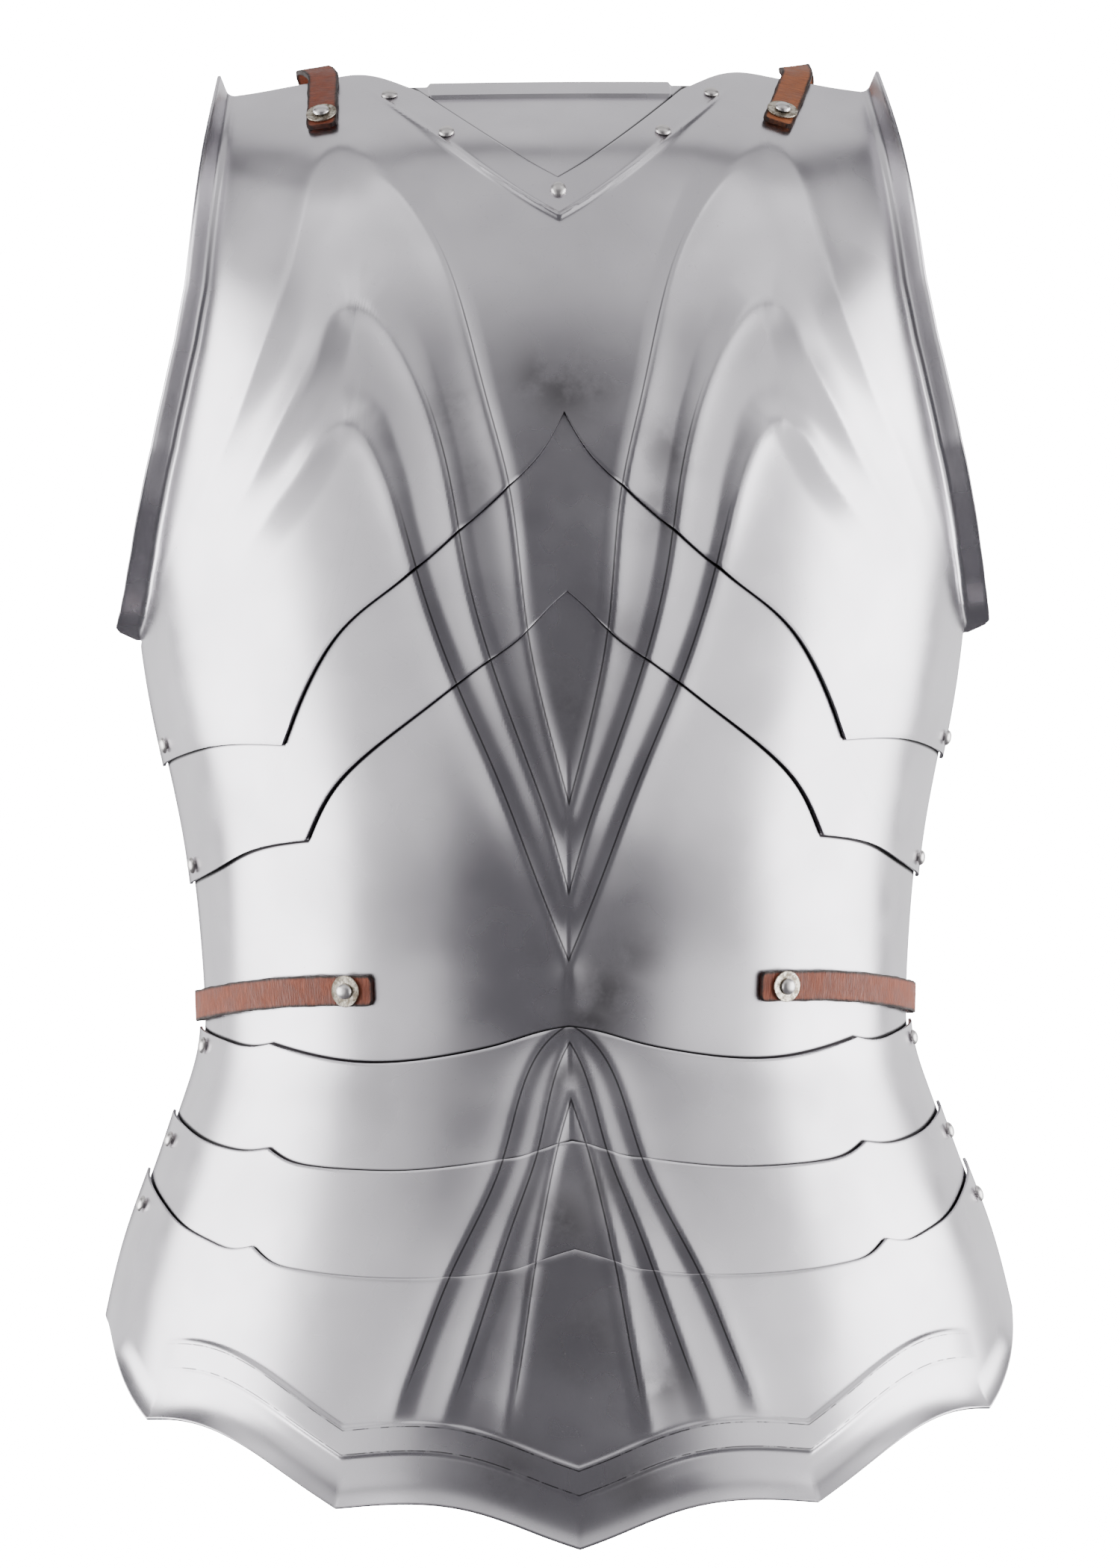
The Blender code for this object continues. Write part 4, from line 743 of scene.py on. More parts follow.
def mark_shade_and_dull(plate, level, ribs, covers):
    """Keeps distances in mm at each vertex, for the steel's material to draw its painted shade and shadow
    lines by, and how dark the spots are.

    covers: cut edges of the plates that lap this one, each with 1 if they do so from above.
    """
    places = vertex_places(plate)
    across, z = places[:, 0], places[:, 2]
    turn = turn_of(np.abs(across), z, level)
    # Distance from each crest, for a thin line of painted shade in its crease
    for number, rib in enumerate(ribs, 1):
        apart, crisp = rib.crease(across, z)
        add_point_values(plate, f"rib_{number}", np.clip(1000 * apart, -FAR, FAR))
        add_point_values(plate, f"crisp_{number}", crisp)
    # Distance from the edge of a covering plate, for a painted shadow line beside it
    cover = np.full(len(z), FAR)
    for edge, side in covers:
        cover = np.minimum(cover, 1000 * side * (edge(turn) - z))
    add_point_values(plate, "cover", np.maximum(cover, -FAR))
    # Height above the scallops, for lines of painted shade along the embossed lines
    if plate.name.endswith("lame_3"):
        add_point_values(plate, "above_edge", 1000 * (z - edge_function(SCALLOPS)(turn)))
        add_point_values(plate, "bordered", smooth_step(BORDER_ENDS[1], BORDER_ENDS[0], turn))
    # How dark each vertex is painted by the spots: partly dull steel, partly painted dark reflection and
    # shadow
    dull_shade = np.zeros(len(z))
    for spot in DULL_SHADE_SPOTS:
        apart = np.hypot(across - spot.across, z - float(height(spot.rise)))
        dull_shade = np.maximum(dull_shade, spot.dark * np.exp(-(apart / spot.reach) ** 2))
    add_point_values(plate, "dull_shade", dull_shade)


print("dull_shade_spots:", len(DULL_SHADE_SPOTS))

# %% [markdown]
# ## Upper plates
#
# Breast plate, middle plate and waist plate overlap like roof tiles, each tucked up under the one
# above. The breast plate turns out at each armhole into a flange that keeps a blade from sliding in.

# %% Upper plates
# How many columns lie between one guide and the next
TORSO_COUNTS = (112, 62, 14)
BREAST_COUNTS = (34, 80, 58, 14)
NECK_COUNTS = (70, 6, 30)
BREAST_ROWS = Rows(0.0, 0, 84, BEAD_DROP + BEAD_WIDTH, 26)  # close ones at the bead
NECK_ROWS = Rows(0.0, 0, 14, 1.6 * HEM_FOLD_WIDTH, 16)      # close ones at the folded rim
FLANGE_BENDS = (1 / 6, 2 / 6, 3 / 6, 4 / 6, 5 / 6, 1)
FLANGE_STEPS = 4            # of the flat part
FLANGE_CORNER = 0.008       # radius of its lower corner
FLANGE_LEAST = 0.02         # share of its width left at that corner


def torso_guides(level):
    """From the middle out to the notches of the hems, the side rivets and the side."""
    return [fixed(0.0), drawn_lane(NOTCH_LANE, level), lambda z: SIDE_RIVET_TURN * armhole(z), armhole]


def flange_columns(points, normals, first_row):
    """The columns that turn out along the armhole, narrow at the flange's lower corner."""
    edge, normal = points[-1, first_row:], unit(normals[-1, first_row:])
    along = unit(np.gradient(edge, axis=0))
    outward = unit(np.cross(along, normal))
    outward *= np.sign((outward * (edge - points[-2, first_row:])).sum(-1, keepdims=True))
    columns = []
    for share in FLANGE_BENDS:
        angle = math.radians(FLANGE_LEAN) * share
        turned_out = outward * math.sin(angle) + normal * (1 - math.cos(angle))
        columns.append(edge + FLANGE_FILLET * turned_out)
    bend = columns[-1]
    tip = bend + FLANGE_WIDTH * (outward * math.cos(angle) + normal * math.sin(angle))
    columns += [bend + (tip - bend) * step / FLANGE_STEPS for step in range(1, FLANGE_STEPS + 1)]
    run = np.concatenate([[0], np.cumsum(np.linalg.norm(np.diff(edge, axis=0), axis=1))])
    share = np.clip(run / FLANGE_CORNER, FLANGE_LEAST, 1)
    return edge + (np.array(columns) - edge) * np.sqrt(1 - (1 - share) ** 2)[None, :, None]


def finish_plate(name, points, ribs, covers, dropped=None):
    """From the points of a plate's outer face to a marked sheet with its thickness."""
    sheet = lay_sheet("cuirass_" + name, points, dropped)
    mark_shade_and_dull(sheet, LEVELS[name], ribs, covers)
    thicken(sheet, STEEL, RIM_ROUND)
    return sheet


def make_breast_plate():
    guides = torso_guides(0)
    lanes = Lanes([guides[0], drawn_lane(NECK_CORNER_LANE, 0)] + guides[1:])
    points, normals = half_plate(
        "breast_plate", lanes, BREAST_COUNTS, edge_function(BREAST_HEM), edge_function(SHOULDER_LINE),
        BREAST_ROWS, breast_relief)
    first_row = int(np.abs(points[-1, :, 2] - float(height(ARMHOLE_RISE[1]))).argmin())
    flange = flange_columns(points, normals, first_row)
    extra = np.repeat(points[-1:], len(flange), axis=0)
    extra[:, first_row:] = flange
    dropped = np.zeros((len(points) + len(flange), points.shape[1]), bool)
    dropped[len(points):, :first_row] = True
    whole = both_halves(np.concatenate([points, extra]))
    return finish_plate("breast_plate", whole, FLAMES, [], np.concatenate([dropped[:0:-1], dropped]))


def make_torso_plate(name, hem, top, rows, covers):
    points, _ = half_plate(
        name, Lanes(torso_guides(LEVELS[name])), TORSO_COUNTS, hem, top, rows, torso_relief)
    return finish_plate(name, both_halves(points), FLAMES, covers)


def make_neck_plate():
    lanes = Lanes([fixed(turn) for turn in (0.0,) + HEM_FOLD_ENDS + (NECK_PLATE_TURN,)])
    points, _ = half_plate(
        "neck_plate", lanes, NECK_COUNTS,
        lambda turn: straight_neckline(turn) - NECK_PLATE_FOOT * BEAD_DROP,
        lambda turn: TORSO_RISE + 0 * turn, NECK_ROWS, neck_relief)
    return finish_plate("neck_plate", both_halves(points), [], [(straight_neckline, -1)])


print("columns in half of the breast plate:", sum(BREAST_COUNTS) + len(FLANGE_BENDS) + FLANGE_STEPS)

# %% [markdown]
# ## The fauld
#
# Three lames hang from the waist plate and slide over each other on loose rivets, so the wearer can
# bend. The lowest ends in scallops, with two embossed lines along them and a lip that turns out.

# %% The fauld
UPPER_LAME_COUNTS = (112, 58, 20)
LOWEST_LAME_COUNTS = (66, 38, 32, 40, 18)
LAME_ROWS = Rows(0.0, 0, 44, 0.0, 0)
LOWEST_ROWS = Rows(BORDER_UPPER + 2 * BORDER_SLOPE, 44, 22, 0.0, 0)


def make_upper_lame(name, top, below):
    lanes = Lanes([fixed(turn) for turn in (0.0, top[0].turn[-1], SIDE_RIVET_TURN, 1.0)])
    points, _ = half_plate(
        name, lanes, UPPER_LAME_COUNTS, edge_function(below, FAULD_LAP), edge_function(top),
        LAME_ROWS, fauld_relief)
    return finish_plate(name, both_halves(points), FAULD_RIBS, [(edge_function(below), -1)])


def make_lowest_lame():
    corners = SCALLOPS[0].turn[-1], LAME_3_TOP[0].turn[-1], SCALLOPS[1].turn[-1]
    lanes = Lanes([fixed(turn) for turn in (0.0,) + corners + (SIDE_RIVET_TURN, 1.0)])
    points, _ = half_plate(
        "fauld_lame_3", lanes, LOWEST_LAME_COUNTS, edge_function(SCALLOPS), edge_function(LAME_3_TOP),
        LOWEST_ROWS, lowest_relief)
    return finish_plate("fauld_lame_3", both_halves(points), FAULD_RIBS, [])


# %% [markdown]
# Now the seven plates are made. The middle and the waist plate run up under the plate above them, and
# the edges that cover a plate are handed on, so that their shadow lines can be drawn.

# %% Make the plates
plates = {
    "breast_plate": make_breast_plate(),
    "middle_plate": make_torso_plate(
        "middle_plate", edge_function(MIDDLE_HEM), edge_function(BREAST_HEM, -UPPER_LAP),
        Rows(0.0, 0, 72, 0.0, 0), [(edge_function(BREAST_HEM), 1)]),
    "waist_plate": make_torso_plate(
        "waist_plate", edge_function(LAME_1_TOP, FAULD_LAP), edge_function(MIDDLE_HEM, -UPPER_LAP),
        Rows(0.0, 0, 92, 0.0, 0), [(edge_function(MIDDLE_HEM), 1), (edge_function(LAME_1_TOP), -1)]),
    "neck_plate": make_neck_plate(),
    "fauld_lame_1": make_upper_lame("fauld_lame_1", LAME_1_TOP, LAME_2_TOP),
    "fauld_lame_2": make_upper_lame("fauld_lame_2", LAME_2_TOP, LAME_3_TOP),
    "fauld_lame_3": make_lowest_lame(),
}
for name, plate in plates.items():
    print(name, "faces:", len(plate.data.polygons))

# %% [markdown]
# ## Places on the plates
#
# Rivets and straps are seated by how far round a plate and how high they sit, so they always meet
# its surface. The straps leave the plates at the shoulders and the sides and meet behind the wearer.

# %% Places on the plates
RELIEFS = {
    "breast_plate": breast_relief, "neck_plate": neck_relief, "middle_plate": torso_relief,
    "waist_plate": torso_relief, "fauld_lame_1": fauld_relief, "fauld_lame_2": fauld_relief,
    "fauld_lame_3": lowest_relief,
}
# The outer one of the two plates that a side rivet joins, and the rivet's rise
SIDE_RIVETS = (
    ("breast", "breast_plate", 0.284), ("middle", "middle_plate", 0.153),
    ("lame_1", "fauld_lame_1", -0.072), ("lame_2", "fauld_lame_2", -0.252),
    ("lame_3", "fauld_lame_3", -0.377),
)
# The rivets along the neckline. turn, rise
NECK_RIVETS = (("low", 0.0, 0.870), ("mid", 0.170, 0.936), ("high", 0.262, 0.982))
SIDES = (("left", 1), ("right", -1))    # the wearer's own sides


def on_plate(name, turn, z, lift=0.0):
    """A place at a lift from a plate's outer face, and the normal there."""
    turns, heights = np.array([abs(turn)]), np.array([z])
    base, normal = at_level(turns, heights, np.full(1, LEVELS[name] * PITCH))
    raised = RELIEFS[name](base, turns, np.full(1, 1.0), np.full(1, 1.0))
    mirror = np.array([math.copysign(1, turn) if turn else 1, 1, 1])
    return (base + normal * (raised[:, None] + lift))[0] * mirror, normal[0] * mirror


def strap_spots(side):
    """Where the straps of one side are riveted on: plate, turn, height."""
    return {
        "shoulder": ("breast_plate", side * SHOULDER_TURN, SHOULDER_RISE * TORSO_RISE),
        "waist": ("waist_plate", side * WAIST_STRAP_TURN, WAIST_STRAP_RISE * TORSO_RISE),
    }

print("rivets through steel alone:", 2 * len(SIDE_RIVETS) + 2 * len(NECK_RIVETS) - 1)

# %% [markdown]
# ## Paths of the straps
#
# A strap follows its plate first, at a small distance, and then a smooth curve through a few stops.
# Where it turns about its own length, a stop says by how much.

# %% Paths of the straps
# A shoulder strap past the plate. across: share of CHEST_HALF; back: share of BACK_DEPTH;
# rise: share of TORSO_RISE; twist: degrees it turns about its own length
StrapStop = namedtuple("StrapStop", "across back rise twist")
OVER_SHOULDER = {
    "left": (
        StrapStop(0.585, 0.040, 1.0170, 8), StrapStop(0.602, 0.197, 1.0130, 14),
        StrapStop(0.590, 0.551, 0.950, 8), StrapStop(0.540, 0.906, 0.820, 0),
        StrapStop(0.485, 1.090, 0.600, 0), StrapStop(0.425, 1.050, 0.300, 0),
    ),
    "right": (
        StrapStop(0.550, 0.053, 1.0180, -8), StrapStop(0.545, 0.197, 1.0100, -4),
        StrapStop(0.535, 0.551, 0.940, 0), StrapStop(0.520, 0.906, 0.820, 0),
        StrapStop(0.480, 1.090, 0.600, 0), StrapStop(0.425, 1.050, 0.300, 0),
    ),
}

BACK_STEPS = 13             # points of a waist strap's path behind the plate
BACK_END_HEIGHTS = STRAP_WIDTH, 0.0, -0.75 * STRAP_WIDTH    # of a shoulder strap's last points


def spread_path(points, close, fine, spacing):
    """Points along the smooth curve through a few: a fine spacing at first, then a wider one."""
    points = np.array(points, float)
    run = np.concatenate([[0], np.cumsum(np.linalg.norm(np.diff(points, axis=0), axis=1))])
    start = np.linspace(0, close, round(close / fine) + 1)
    rest = np.linspace(close, run[-1], round((run[-1] - close) / spacing) + 1)[1:]
    places = np.concatenate([start, rest])
    return np.stack([Spline(run, points[:, i])(places) for i in range(points.shape[1])], -1)


def waist_strap_path(side):
    """From its end on the plate, along the plate to the side and half way round the back."""
    centres, outs = [], []
    lift = SEAT_GAP + STRAP_ROOM + LEATHER / 2
    high, low = WAIST_STRAP_LEVELS
    for turn in np.linspace(WAIST_STRAP_TURN - WAIST_STRAP_END, 1.0, WAIST_STRAP_STEPS):
        rise = WAIST_STRAP_RISE * TORSO_RISE * float(smooth_step(low, high, turn))
        off = lift + 0.5 * LEATHER * float(smooth_step(WAIST_STRAP_OFF, 1.0, turn))
        place, normal = on_plate("waist_plate", side * turn, rise, off)
        centres.append(place)
        outs.append(normal)
    half = abs(centres[-1][0])
    last = math.acos(STRAP_BREAK / 2 / half)
    for angle in np.linspace(0, last, BACK_STEPS + 1)[1:]:
        centres.append(back_strap_place(side * half, angle, 0.0))
        outs.append(back_strap_normal(side * half, angle))
    return np.array(centres), np.array(outs)


def back_strap_place(half, angle, z):
    return np.array([half * math.cos(angle), BACK_DEPTH * math.sin(angle), z])


def back_strap_normal(half, angle):
    return unit(np.array([math.cos(angle) / half, math.sin(angle) / BACK_DEPTH, 0.0]))


def shoulder_strap_path(side, side_name):
    """From its end on the breast plate over the shoulder and down to the strap round the back."""
    centres, outs = [], []
    stops = OVER_SHOULDER[side_name]
    lift = SEAT_GAP + STRAP_ROOM + LEATHER / 2
    rivet_share = SHOULDER_STRAP_END / SHOULDER_STRAP_RISE
    for share in np.linspace(0, 1, SHOULDER_STRAP_STEPS):
        rise = SHOULDER_RISE - SHOULDER_STRAP_END + share * SHOULDER_STRAP_RISE
        turn = SHOULDER_TURN + SHOULDER_LEAN[side_name] * (share - rivet_share)
        place, normal = on_plate("breast_plate", side * turn, rise * TORSO_RISE, lift)
        centres.append(place)
        outs.append(normal)
    for stop in stops:
        centres.append(np.array([
            side * stop.across * CHEST_HALF, stop.back * BACK_DEPTH, stop.rise * TORSO_RISE]))
        outs.append(np.zeros(3))
    waist, _ = waist_strap_path(side)
    half = side * abs(waist[WAIST_STRAP_STEPS - 1][0])
    angle = math.acos(stops[-1].across * CHEST_HALF / abs(half))
    normal = back_strap_normal(half, angle)
    for z in BACK_END_HEIGHTS:
        centres.append(back_strap_place(half, angle, z) + normal * (LEATHER + SEAT_GAP))
        outs.append(normal)
    centres = np.array(centres)
    along = unit(np.gradient(centres, axis=0))
    for i, stop in enumerate(stops, SHOULDER_STRAP_STEPS):
        twist = math.radians(stop.twist)
        across = np.array([math.cos(twist), 0, side * math.sin(twist)])
        outs[i] = unit(np.cross(across, along[i]))
    return centres, np.array(outs)


print("points of a shoulder strap's path:", len(shoulder_strap_path(1, "left")[0]))

# %% [markdown]
# ## Rivets
#
# A rivet's head was struck cold with a ball hammer, so no two domes are alike. One profile is spun
# round its axis into a solid, head, shank and inner head in one, and each copy gets its own small
# dents and a slightly uneven outline.

# %% Turned solids
SPIN_STEPS = 28
METAL_ANGLE = 50            # degrees, past which an edge stays sharp
ON_LEATHER = 2 * SEAT_GAP + STRAP_ROOM + LEATHER + WASHER_THICK
WASHER_ROUND = 0.00025      # rounding of a washer's edge
WASHER_DISH = 0.92          # thickness at its hole, as a share of the full one
TAIL_FLAT = (0.6, 0.8)      # where the inner head starts to slope: shares of its radius and thickness
DOME_STEPS = 9


def turned(name, profile):
    """A closed solid spun from a profile of radius and height, which starts or ends on the axis."""
    mesh = bpy.data.meshes.new(name)
    edges = [(i, i + 1) for i in range(len(profile) - 1)]
    if profile[0][0] > 0:
        edges.append((len(profile) - 1, 0))
    mesh.from_pydata([(radius, 0, z) for radius, z in profile], edges, [])
    thing = bpy.data.objects.new(name, mesh)
    bpy.context.collection.objects.link(thing)
    bpy.context.view_layer.objects.active = thing
    thing.select_set(True)
    bpy.ops.object.mode_set(mode="EDIT")
    bpy.ops.mesh.select_all(action="SELECT")
    bpy.ops.mesh.spin(steps=SPIN_STEPS, angle=2 * math.pi, center=(0, 0, 0), axis=(0, 0, 1))
    bpy.ops.mesh.select_all(action="SELECT")
    bpy.ops.mesh.remove_doubles(threshold=0.00001)
    bpy.ops.mesh.normals_make_consistent(inside=False)
    bpy.ops.object.mode_set(mode="OBJECT")
    bpy.ops.object.shade_smooth_by_angle(angle=math.radians(METAL_ANGLE))
    thing.select_set(False)
    return thing


def rivet_profile(grip):
    """From the top of the dome down its outer side to the middle of the inner head."""
    dome = [
        (RIVET_HEAD * math.sin(a), SEAT_GAP + RIM_ROUND + (RIVET_DOME - RIM_ROUND) * math.cos(a))
        for a in np.linspace(0, math.pi / 2, DOME_STEPS)]
    tail = -grip - RIVET_ROOM
    foot = [
        (RIVET_HEAD - RIM_ROUND, SEAT_GAP), (RIVET_SHANK, SEAT_GAP), (RIVET_SHANK, tail),
        (RIVET_TAIL - RIM_ROUND, tail), (RIVET_TAIL, tail - RIM_ROUND),
        (TAIL_FLAT[0] * RIVET_TAIL, tail - TAIL_FLAT[1] * RIVET_TAIL_THICK), (0, tail - RIVET_TAIL_THICK)]
    return dome + foot


def washer_profile():
    hole = RIVET_SHANK + RIVET_PLAY
    return [
        (hole, 0), (WASHER - WASHER_ROUND, 0), (WASHER, WASHER_ROUND),
        (WASHER, WASHER_THICK - WASHER_ROUND), (WASHER - WASHER_ROUND, WASHER_THICK),
        (WASHER - 4 * WASHER_ROUND, WASHER_DISH * WASHER_THICK), (hole, WASHER_DISH * WASHER_THICK)]


def place_copy(model, name, spot, chance, dent):
    """A copy of a turned solid with its own mesh, seated at a spot and a little out of true."""
    copy = model.copy()
    copy.data = model.data.copy()
    copy.name = copy.data.name = name
    bpy.context.collection.objects.link(copy)
    places = vertex_places(copy)
    radius = np.linalg.norm(places[:, :2], axis=1)
    angle = np.arctan2(places[:, 1], places[:, 0])
    uneven = chance.uniform(-1, 1, 4) * dent
    places[:, :2] *= (1 + uneven[0] * np.cos(2 * angle + 3 * uneven[1]) * (radius > RIVET_SHANK))[:, None]
    above = places[:, 2] > SEAT_GAP + 2 * RIM_ROUND
    places[:, 2] -= above * np.abs(uneven[2]) * RIVET_DOME * (1 + np.cos(angle + 9 * uneven[3]))
    turn = Vector(spot[1]).to_track_quat("Z", "Y").to_matrix().to_4x4()
    matrix = np.array(Matrix.Translation(Vector(spot[0])) @ turn)
    places = places @ matrix[:3, :3].T + matrix[:3, 3]
    copy.data.vertices.foreach_set("co", places.ravel())
    copy.data.update()
    return copy

print("profile points of a rivet:", len(rivet_profile(STEEL)), "of a washer:", len(washer_profile()))

# %% [markdown]
# Four solids are spun, one for each length of rivet and one for the washers. Their copies are seated
# on the plates, each with a random dent, and the four patterns are deleted.

# %% Make the rivets and washers
chance = np.random.default_rng(7)
DOME_DENT = 0.05            # share of its height
rivets, washers = {}, {}
lap_rivet = turned("lap rivet", rivet_profile(PITCH + STEEL))
anchor_rivet = turned("anchor rivet", rivet_profile(ON_LEATHER + STEEL))
back_rivet = turned("back rivet", rivet_profile(2 * LEATHER + SEAT_GAP))
ring = turned("ring", washer_profile())
for pair, outer, rise in SIDE_RIVETS:
    for side_name, side in SIDES:
        spot = on_plate(outer, side * SIDE_RIVET_TURN, float(height(rise)), SEAT_GAP)
        rivets[f"rivet_{pair}_{side_name}"] = (lap_rivet, spot)
for row, turn, rise in NECK_RIVETS:
    for side_name, side in SIDES if turn else (("middle", 1),):
        spot = on_plate("breast_plate", side * turn, rise * TORSO_RISE)
        rivets[f"rivet_neck_{row}_{side_name}"] = (lap_rivet, spot)
for side_name, side in SIDES:
    for row, (plate, turn, z) in strap_spots(side).items():
        rivets[f"rivet_{row}_strap_{side_name}"] = (anchor_rivet, on_plate(plate, turn, z, ON_LEATHER))
        washers[f"washer_{row}_{side_name}"] = (ring, on_plate(plate, turn, z, ON_LEATHER - WASHER_THICK))
    centres, outs = shoulder_strap_path(side, side_name)
    rivets[f"rivet_back_{side_name}"] = (back_rivet, (centres[-2] + outs[-2] * LEATHER / 2, outs[-2]))
for table, dent in ((rivets, DOME_DENT), (washers, 0.5 * DOME_DENT)):
    for name, (model, spot) in table.items():
        table[name] = place_copy(model, "worn_" + name, spot, chance, dent)
for model in (lap_rivet, anchor_rivet, back_rivet, ring):
    bpy.data.objects.remove(model, do_unlink=True)
print("rivets:", len(rivets), "washers:", len(washers))

# %% [markdown]
# ## Straps
#
# The harness is cut from vegetable-tanned leather. Each strap is a sheet laid along its path and
# given the leather's thickness and rounded edges. The two corners of its free end are rounded, and
# its edges wander a little, as a hand-cut edge does.

# %% Straps
STRAP_FINE = 0.0012         # metres between points on the first stretch
STRAP_COARSE = 0.004
STRAP_ACROSS = 14
STRAP_ROUND = 0.0006        # rounding of its edges
STRAP_WAVER = 0.00022       # how far its edges wander
LONG_WAVE, SHORT_WAVE = 260, 710    # radians to a metre
WAVE_SHARE = 0.6            # size of the short waves beside the long ones
STRAP_STRETCH = {"shoulder": 0.075, "waist": 0.165}    # length of the first stretch
CORNER_CUT = 0.0024         # rounding of the free end's corners


def make_strap(name, centres, outs, stretch, chance):
    path = np.concatenate([centres, outs * OUT_WEIGHT], axis=1)
    both = spread_path(path, stretch, STRAP_FINE, STRAP_COARSE)
    centres, outs = both[:, :3], unit(both[:, 3:])
    along = unit(np.gradient(centres, axis=0))
    across = unit(np.cross(along, outs))
    outs = np.cross(across, along)
    run = np.concatenate([[0], np.cumsum(np.linalg.norm(np.diff(centres, axis=0), axis=1))])
    shares = np.linspace(-1, 1, STRAP_ACROSS + 1)
    points = []
    for share in shares:
        phase = chance.uniform(0, 6)
        wave = np.sin(run * LONG_WAVE + phase) + WAVE_SHARE * np.sin(run * SHORT_WAVE + 2 * phase)
        waver = STRAP_WAVER * wave / (1 + WAVE_SHARE)
        cut = CORNER_CUT * (1 - np.sqrt(1 - np.clip(1 - run / CORNER_CUT, 0, 1) ** 2))
        half = STRAP_WIDTH / 2 - STRAP_WAVER - cut + waver * abs(share) ** 3
        points.append(centres + across * (share * half)[:, None] + outs * LEATHER / 2)
    points = np.array(points)
    values = {
        "along": np.repeat(run[None], len(shares), axis=0),
        "across": np.repeat(shares[:, None] * STRAP_WIDTH / 2, len(run), axis=1),
    }
    sheet = lay_sheet(name, points, values=values)
    thicken(sheet, LEATHER, STRAP_ROUND)
    return sheet


straps = {}
for side_name, side in SIDES:
    paths = {"shoulder": shoulder_strap_path(side, side_name), "waist": waist_strap_path(side)}
    for row, (centres, outs) in paths.items():
        name = f"{row}_strap_{side_name}"
        straps[name] = make_strap("leather_" + name, centres, outs, STRAP_STRETCH[row], chance)
        print(name, "faces:", len(straps[name].data.polygons))

# %% [markdown]
# ## Clasp
#
# The waist straps close behind the wearer, out of the photo's sight, so the clasp is one plain plate
# with rounded edges.

# %% Clasp
CLASP_ROUND = 0.0008
bpy.ops.mesh.primitive_cube_add(size=1)
clasp = bpy.context.object
clasp.name = clasp.data.name = "plain_clasp"
bpy.ops.object.mode_set(mode="EDIT")
bpy.ops.mesh.select_all(action="SELECT")
bpy.ops.transform.resize(value=(CLASP_LENGTH, CLASP_THICK, CLASP_HEIGHT))
bpy.ops.transform.translate(value=(0, BACK_DEPTH + LEATHER / 2 + SEAT_GAP + CLASP_THICK / 2, 0))
bpy.ops.mesh.bevel(offset=CLASP_ROUND, segments=4)
bpy.ops.object.mode_set(mode="OBJECT")
bpy.ops.object.shade_smooth_by_angle(angle=math.radians(METAL_ANGLE))
clasp.select_set(False)
print("clasp faces:", len(clasp.data.polygons))

# %% [markdown]
# ## Material helpers
#
# Colours are written as the hex values that a screen shows, and turned into the linear values that
# a material works with. One small function adds a node with its settings and inputs.

# %% Material helpers
def linear(hex_colour):
    channels = [int(hex_colour[i:i + 2], 16) / 255 for i in (1, 3, 5)]
    return [c / 12.92 if c <= 0.04045 else ((c + 0.055) / 1.055) ** 2.4 for c in channels] + [1]


def new_material(name, metallic, roughness):
    material = bpy.data.materials.new(name)
    material.use_nodes = True
    shader = material.node_tree.nodes["Principled BSDF"]
    shader.inputs["Metallic"].default_value = metallic
    shader.inputs["Roughness"].default_value = roughness
    return material, shader


def add_node(material, kind, inputs=None, **settings):
    """Adds a node; an input is a value or another node's output."""
    node = material.node_tree.nodes.new("ShaderNode" + kind)
    for name, value in settings.items():
        setattr(node, name, value)
    for name, value in (inputs or {}).items():
        if isinstance(value, bpy.types.NodeSocket):
            material.node_tree.links.new(value, node.inputs[name])
        else:
            node.inputs[name].default_value = value
    return node


def feed(material, output, shader, name):
    material.node_tree.links.new(output, shader.inputs[name])


def object_noise(material, size_mm, stretch=(1, 1, 1), detail=4, roughness=0.55):
    """Noise whose features are about this many mm across, drawn out along an axis by a stretch."""
    places = add_node(material, "TexCoord").outputs["Object"]
    scale = [1000 / size_mm / factor for factor in stretch]
    mapped = add_node(material, "Mapping", {"Vector": places, "Scale": scale})
    noise = add_node(material, "TexNoise", {
        "Vector": mapped.outputs["Vector"], "Scale": 1.0, "Detail": detail, "Roughness": roughness})
    return noise.outputs["Fac"]


def spread(material, value, low, high, to_low=0.0, to_high=1.0):
    """Stretches the part of a value between two limits over a new range."""
    return add_node(material, "MapRange", {
        "Value": value, "From Min": low, "From Max": high, "To Min": to_low, "To Max": to_high},
        interpolation_type="SMOOTHSTEP").outputs["Result"]


def combine(material, operation, first, second):
    return add_node(material, "Math", {0: first, 1: second}, operation=operation).outputs["Value"]


def mix_colour(material, share, first, second):
    node = add_node(material, "Mix", {0: share, 6: first, 7: second}, data_type="RGBA")
    return node.outputs[2]


def bump(material, value, depth_mm, before=None):
    inputs = {"Height": value, "Distance": depth_mm / 1000, "Strength": 1.0}
    if before:
        inputs["Normal"] = before
    return add_node(material, "Bump", inputs).outputs["Normal"]


print("white, linear:", linear("#FFFFFF"))

# %% [markdown]
# ## Polished steel
#
# Hand-polished steel is almost colourless. What tells the eye that it was made by hand is the slow
# unevenness left by the planishing hammer, the fine grain of the last abrasive and small dark pits.
# On top are painted: grey clouds, partly dull steel and partly painted dark reflection and shadow,
# thin lines of painted shade beside the creases, and painted shadow lines under the cut edges.

# %% Polished steel
# All of these are in millimetres, as the kept distances are, or are shares
# The dark lines drawn with these are painted: shadow beside covering edges, shade in creases and along
# embossed lines
SHADOW_MM = 1.1         # reach of the dark line beside a covering plate's edge
SHADOW_HALF_MM = 1.5    # half its width: the rest of it lies under that plate
CREASE_MM = 1.3         # how far towards the middle from a crest its fine line runs
CREASE_HALF_MM = 0.55
CREASE_SHADE = 0.75
BORDER_HALF_MM = 0.40
BORDER_SHADE = 0.8
LINE_CORE = 0.25        # share of a line's width that is fully dark
# Strength of the painted dark spots, and how much rougher their dull part is
DULL_SHADE_DARK = 0.72
DULL_ROUGH = 0.08     # how much rougher a smudge is


